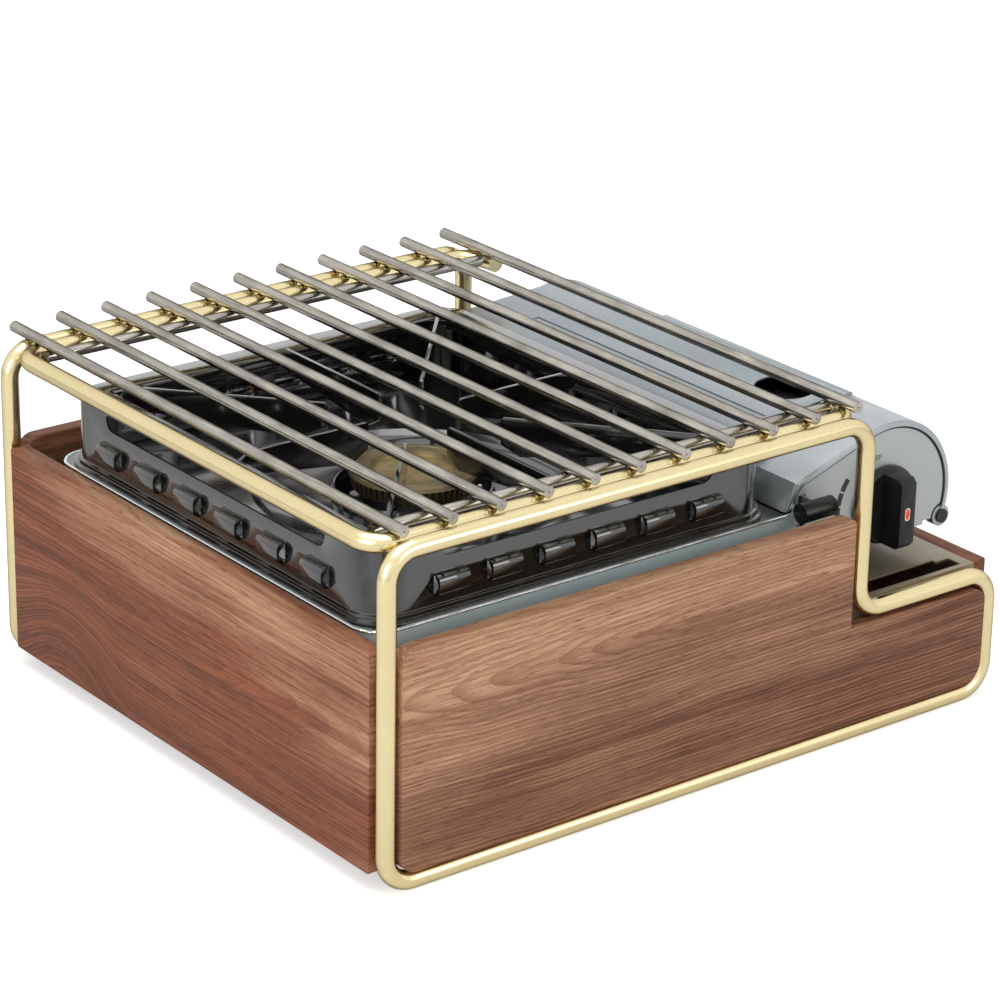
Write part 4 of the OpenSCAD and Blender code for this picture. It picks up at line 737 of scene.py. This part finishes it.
class STOVE_OT_cartridge_side(bpy.types.Operator):
    """Lid, cover, fascia with its dial marks, and the cartridge"""
    bl_idname = "stove.cartridge_side"
    bl_label = "Cartridge side"

    def execute(self, context):
        looks = context.scene.stove_looks
        paint = coated_material("Hood paint", tuple(looks.hood), 0.25, 0.7)
        dress(["regulator_cover"], paint, edge=0.25 * MM)
        lid_paint = coated_material("Lid paint", tuple(looks.lid), 0.25, 0.7)
        dress(["cartridge_lid"], lid_paint, edge=0.25 * MM)
        dress(["cartridge_bay", "bay_bulkhead", "bay_end_plate"], paint)
        plate_paint = coated_material("Fascia paint", tuple(looks.fascia), 0.1, 0.25, 0.15)
        dress(["front_fascia"], plate_paint)
        dress(["cartridge_can"], coated_material("Can lacquer", srgb(44, 46, 48), 0.0, 0.0, 0.6))
        dress(["hinge_pin"], moulded_material("Black oxide pin", srgb(34, 34, 35), 0.45))
        self.dial(looks)
        self.seam(looks.seam_shadow_width)
        return {"FINISHED"}

    def seam(self, width):
        """A thin dark strip painted as the shadow in the gap between the front plate and the bead
        of the cover round it.
        """
        bead_size, bend_in, foot_in, foot_up = 3 * MM, 10.5 * MM, 3 * MM, 0.5 * MM
        proud, thickness = 0.1 * MM, 0.15 * MM
        arc_start, arc_steps, flank_slope = -16, 30, 18.6
        low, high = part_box("cartridge_can")
        axis = Vector(((low.x + high.x) / 2, (low.z + high.z) / 2))
        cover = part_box("regulator_cover")
        foot_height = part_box("chassis")[1].z + foot_up
        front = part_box("front_fascia")[0].y - proud
        edges = []
        for inward in (0, width):
            radius = cover[1].z - axis.y - bead_size - inward
            line = arc_points(axis, radius, arc_start, 90 + flank_slope, arc_steps)
            bend = cover[0].x + bend_in + inward
            drop = (line[-1].x - bend) * math.tan(math.radians(flank_slope))
            line.append(Vector((bend, line[-1].y - drop)))
            line.append(Vector((cover[0].x + foot_in + inward, foot_height)))
            edges.append(line)
        outer, inner = edges
        # Painted shadow: a thin dark strip stands in for the shade in the gap round the front
        # plate.
        strip = bmesh.new()
        plate(strip, outer + inner[::-1], front, front + thickness)
        dark = moulded_material("Painted seam shadow", srgb(22, 24, 24), 0.5, 400.0, 0.0)
        finish_piece("fascia_seam_shadow", strip, "stove", dark)

    def dial(self, looks):
        """A dark band left of the knob, split by marks, and the word for the closed valve."""
        ink = moulded_material("Dial ink", srgb(52, 54, 56), 0.5, 400.0, 0.0)
        low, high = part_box("gas_knob")
        middle = Vector(((low.x + high.x) / 2, (low.z + high.z) / 2))
        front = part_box("front_fascia")[0].y
        near, far = front - 0.06 * MM, front + 0.1 * MM
        marks = bmesh.new()
        outer = looks.dial_radius
        inner = outer - looks.dial_width
        first, last, arc_steps = 142, 214, 5
        part = (last - first) / looks.dial_marks
        split = 0.06 * part
        for index in range(looks.dial_marks):
            start, end = first + index * part + split, first + (index + 1) * part - split
            outline = arc_points(middle, outer, start, end, arc_steps)
            outline += arc_points(middle, inner, end, start, arc_steps)
            plate(marks, outline, near, far)
        finish_piece("dial_marks", marks, "stove", ink)
        curve = bpy.data.curves.new("off word", "FONT")
        curve.body = "OFF"
        curve.size = looks.word_height
        curve.extrude = (far - near) / 2
        curve.align_x = "CENTER"
        written = bpy.data.objects.new("off word", curve)
        bpy.context.scene.collection.objects.link(written)
        letters = bmesh.new()
        letters.from_mesh(written.to_mesh())
        written.to_mesh_clear()
        bpy.data.objects.remove(written)
        left_of_knob, above_knob = 6 * MM, 24.6 * MM
        place = Matrix.Translation((middle.x - left_of_knob, (near + far) / 2,
                                    middle.y + above_knob))
        bmesh.ops.transform(letters, verts=letters.verts,
                            matrix=place @ Matrix.Rotation(math.radians(90), 4, "X"))
        finish_piece("off_word", letters, "stove", ink)


class STOVE_OT_controls(bpy.types.Operator):
    """Knob, pointer and lever grip"""
    bl_idname = "stove.controls"
    bl_label = "Controls"

    def execute(self, context):
        looks = context.scene.stove_looks
        black = moulded_material("Moulded black", tuple(looks.knob), 0.32)
        dress(["gas_knob", "lever_grip"], black, edge=0.35 * MM)
        insert = moulded_material("Pointer insert", tuple(looks.pointer), 0.3)
        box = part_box("knob_pointer")
        half = (box[1] - box[0]) / 2
        rim_start, rim_full = 0.84, 0.9
        tint_from_middle(insert, box, (1 / half.x, 0, 1 / half.z), rim_start, rim_full, 1.0,
                         srgb(236, 226, 218))
        dress(["knob_pointer"], insert)
        return {"FINISHED"}


class STOVE_OT_stage(bpy.types.Operator):
    """Floor, world, lamps and camera"""
    bl_idname = "stove.stage"
    bl_label = "Stage"

    def execute(self, context):
        settings = context.scene.stage_settings
        self.floor(settings)
        self.world(context.scene, settings)
        for lamp in LAMPS:
            self.lamp(*lamp)
        self.camera(context.scene, settings)
        context.scene.view_settings.view_transform = "Standard"
        return {"FINISHED"}

    def floor(self, settings):
        ground = bmesh.new()
        bmesh.ops.create_grid(ground, x_segments=1, y_segments=1, size=6)
        mesh = bpy.data.meshes.new("floor")
        ground.to_mesh(mesh)
        ground.free()
        floor = bpy.data.objects.new("floor", mesh)
        bpy.context.scene.collection.objects.link(floor)
        material, tree, shader, place = new_material("Studio floor", Roughness=0.9)
        cloud = noise(tree, place, 3.0, 2.0, 0.5)
        shade = tuple(0.985 * c for c in settings.floor)
        tree.links.new(blend_colour(tree, cloud, tuple(settings.floor), shade),
                       shader.inputs["Base Color"])
        seen = add_node(tree, "ShaderNodeLightPath").outputs["Is Camera Ray"]
        tree.links.new(remap(tree, seen, 0.0, 1.0, 0.0, settings.floor_lift),
                       shader.inputs["Emission Strength"])
        shader.inputs["Emission Color"].default_value = (1, 1, 1, 1)
        mesh.materials.append(material)

    def world(self, scene, settings):
        world = bpy.data.worlds.new("Studio")
        world.use_nodes = True
        tree = world.node_tree
        tree.nodes.clear()
        path = add_node(tree, "ShaderNodeLightPath").outputs
        seen = arithmetic(tree, "MAXIMUM", path["Is Camera Ray"], path["Is Glossy Ray"])
        seen = arithmetic(tree, "MAXIMUM", seen, path["Is Transmission Ray"])
        strength = remap(tree, seen, 0.0, 1.0, settings.world_light, 1.0)
        light = add_node(tree, "ShaderNodeBackground", {"Color": (1, 1, 1, 1),
                                                        "Strength": strength})
        output = add_node(tree, "ShaderNodeOutputWorld")
        tree.links.new(light.outputs[0], output.inputs["Surface"])
        scene.world = world

    def lamp(self, name, place, target, size, power):
        data = bpy.data.lights.new(name, "AREA")
        data.shape = "RECTANGLE"
        data.size, data.size_y = size
        data.energy = power
        lamp = bpy.data.objects.new(name, data)
        lamp.location = place
        aim = Vector(target) - Vector(place)
        lamp.rotation_euler = aim.to_track_quat("-Z", "Y").to_euler()
        bpy.context.scene.collection.objects.link(lamp)

    def camera(self, scene, settings):
        data = bpy.data.cameras.new("Camera")
        data.sensor_width = 36.0
        data.lens = settings.lens
        data.clip_start = 0.05
        data.clip_end = 50.0
        camera = bpy.data.objects.new("Camera", data)
        camera.location = settings.camera_place
        camera.rotation_euler = Euler(settings.camera_turn)
        scene.collection.objects.link(camera)
        scene.camera = camera


class STOVE_PT_panel(bpy.types.Panel):
    """Lists the steps that dress the stove and its stand"""
    bl_idname = "STOVE_PT_panel"
    bl_label = "Cassette stove"
    bl_space_type = "VIEW_3D"
    bl_region_type = "UI"
    bl_category = "Stove"

    def draw(self, context):
        column = self.layout.column()
        for step in STEPS:
            column.operator(step.bl_idname)


STEPS = (STOVE_OT_walnut_boards, STOVE_OT_brass_frames, STOVE_OT_grate, STOVE_OT_shelf,
         STOVE_OT_chassis, STOVE_OT_pan_support, STOVE_OT_burner, STOVE_OT_cartridge_side,
         STOVE_OT_controls, STOVE_OT_stage)
SETTINGS = (StandLooks, StoveLooks, StageSettings)


def register():
    for group in (*SETTINGS, *STEPS, STOVE_PT_panel):
        bpy.utils.register_class(group)
    bpy.types.Scene.stand_looks = PointerProperty(type=StandLooks)
    bpy.types.Scene.stove_looks = PointerProperty(type=StoveLooks)
    bpy.types.Scene.stage_settings = PointerProperty(type=StageSettings)


def unregister():
    del bpy.types.Scene.stage_settings
    del bpy.types.Scene.stove_looks
    del bpy.types.Scene.stand_looks
    for group in reversed((*SETTINGS, *STEPS, STOVE_PT_panel)):
        bpy.utils.unregister_class(group)


def main():
    register()
    for step in STEPS:
        group, name = step.bl_idname.split(".")
        getattr(getattr(bpy.ops, group), name)()


if __name__ == "__main__":
    main()
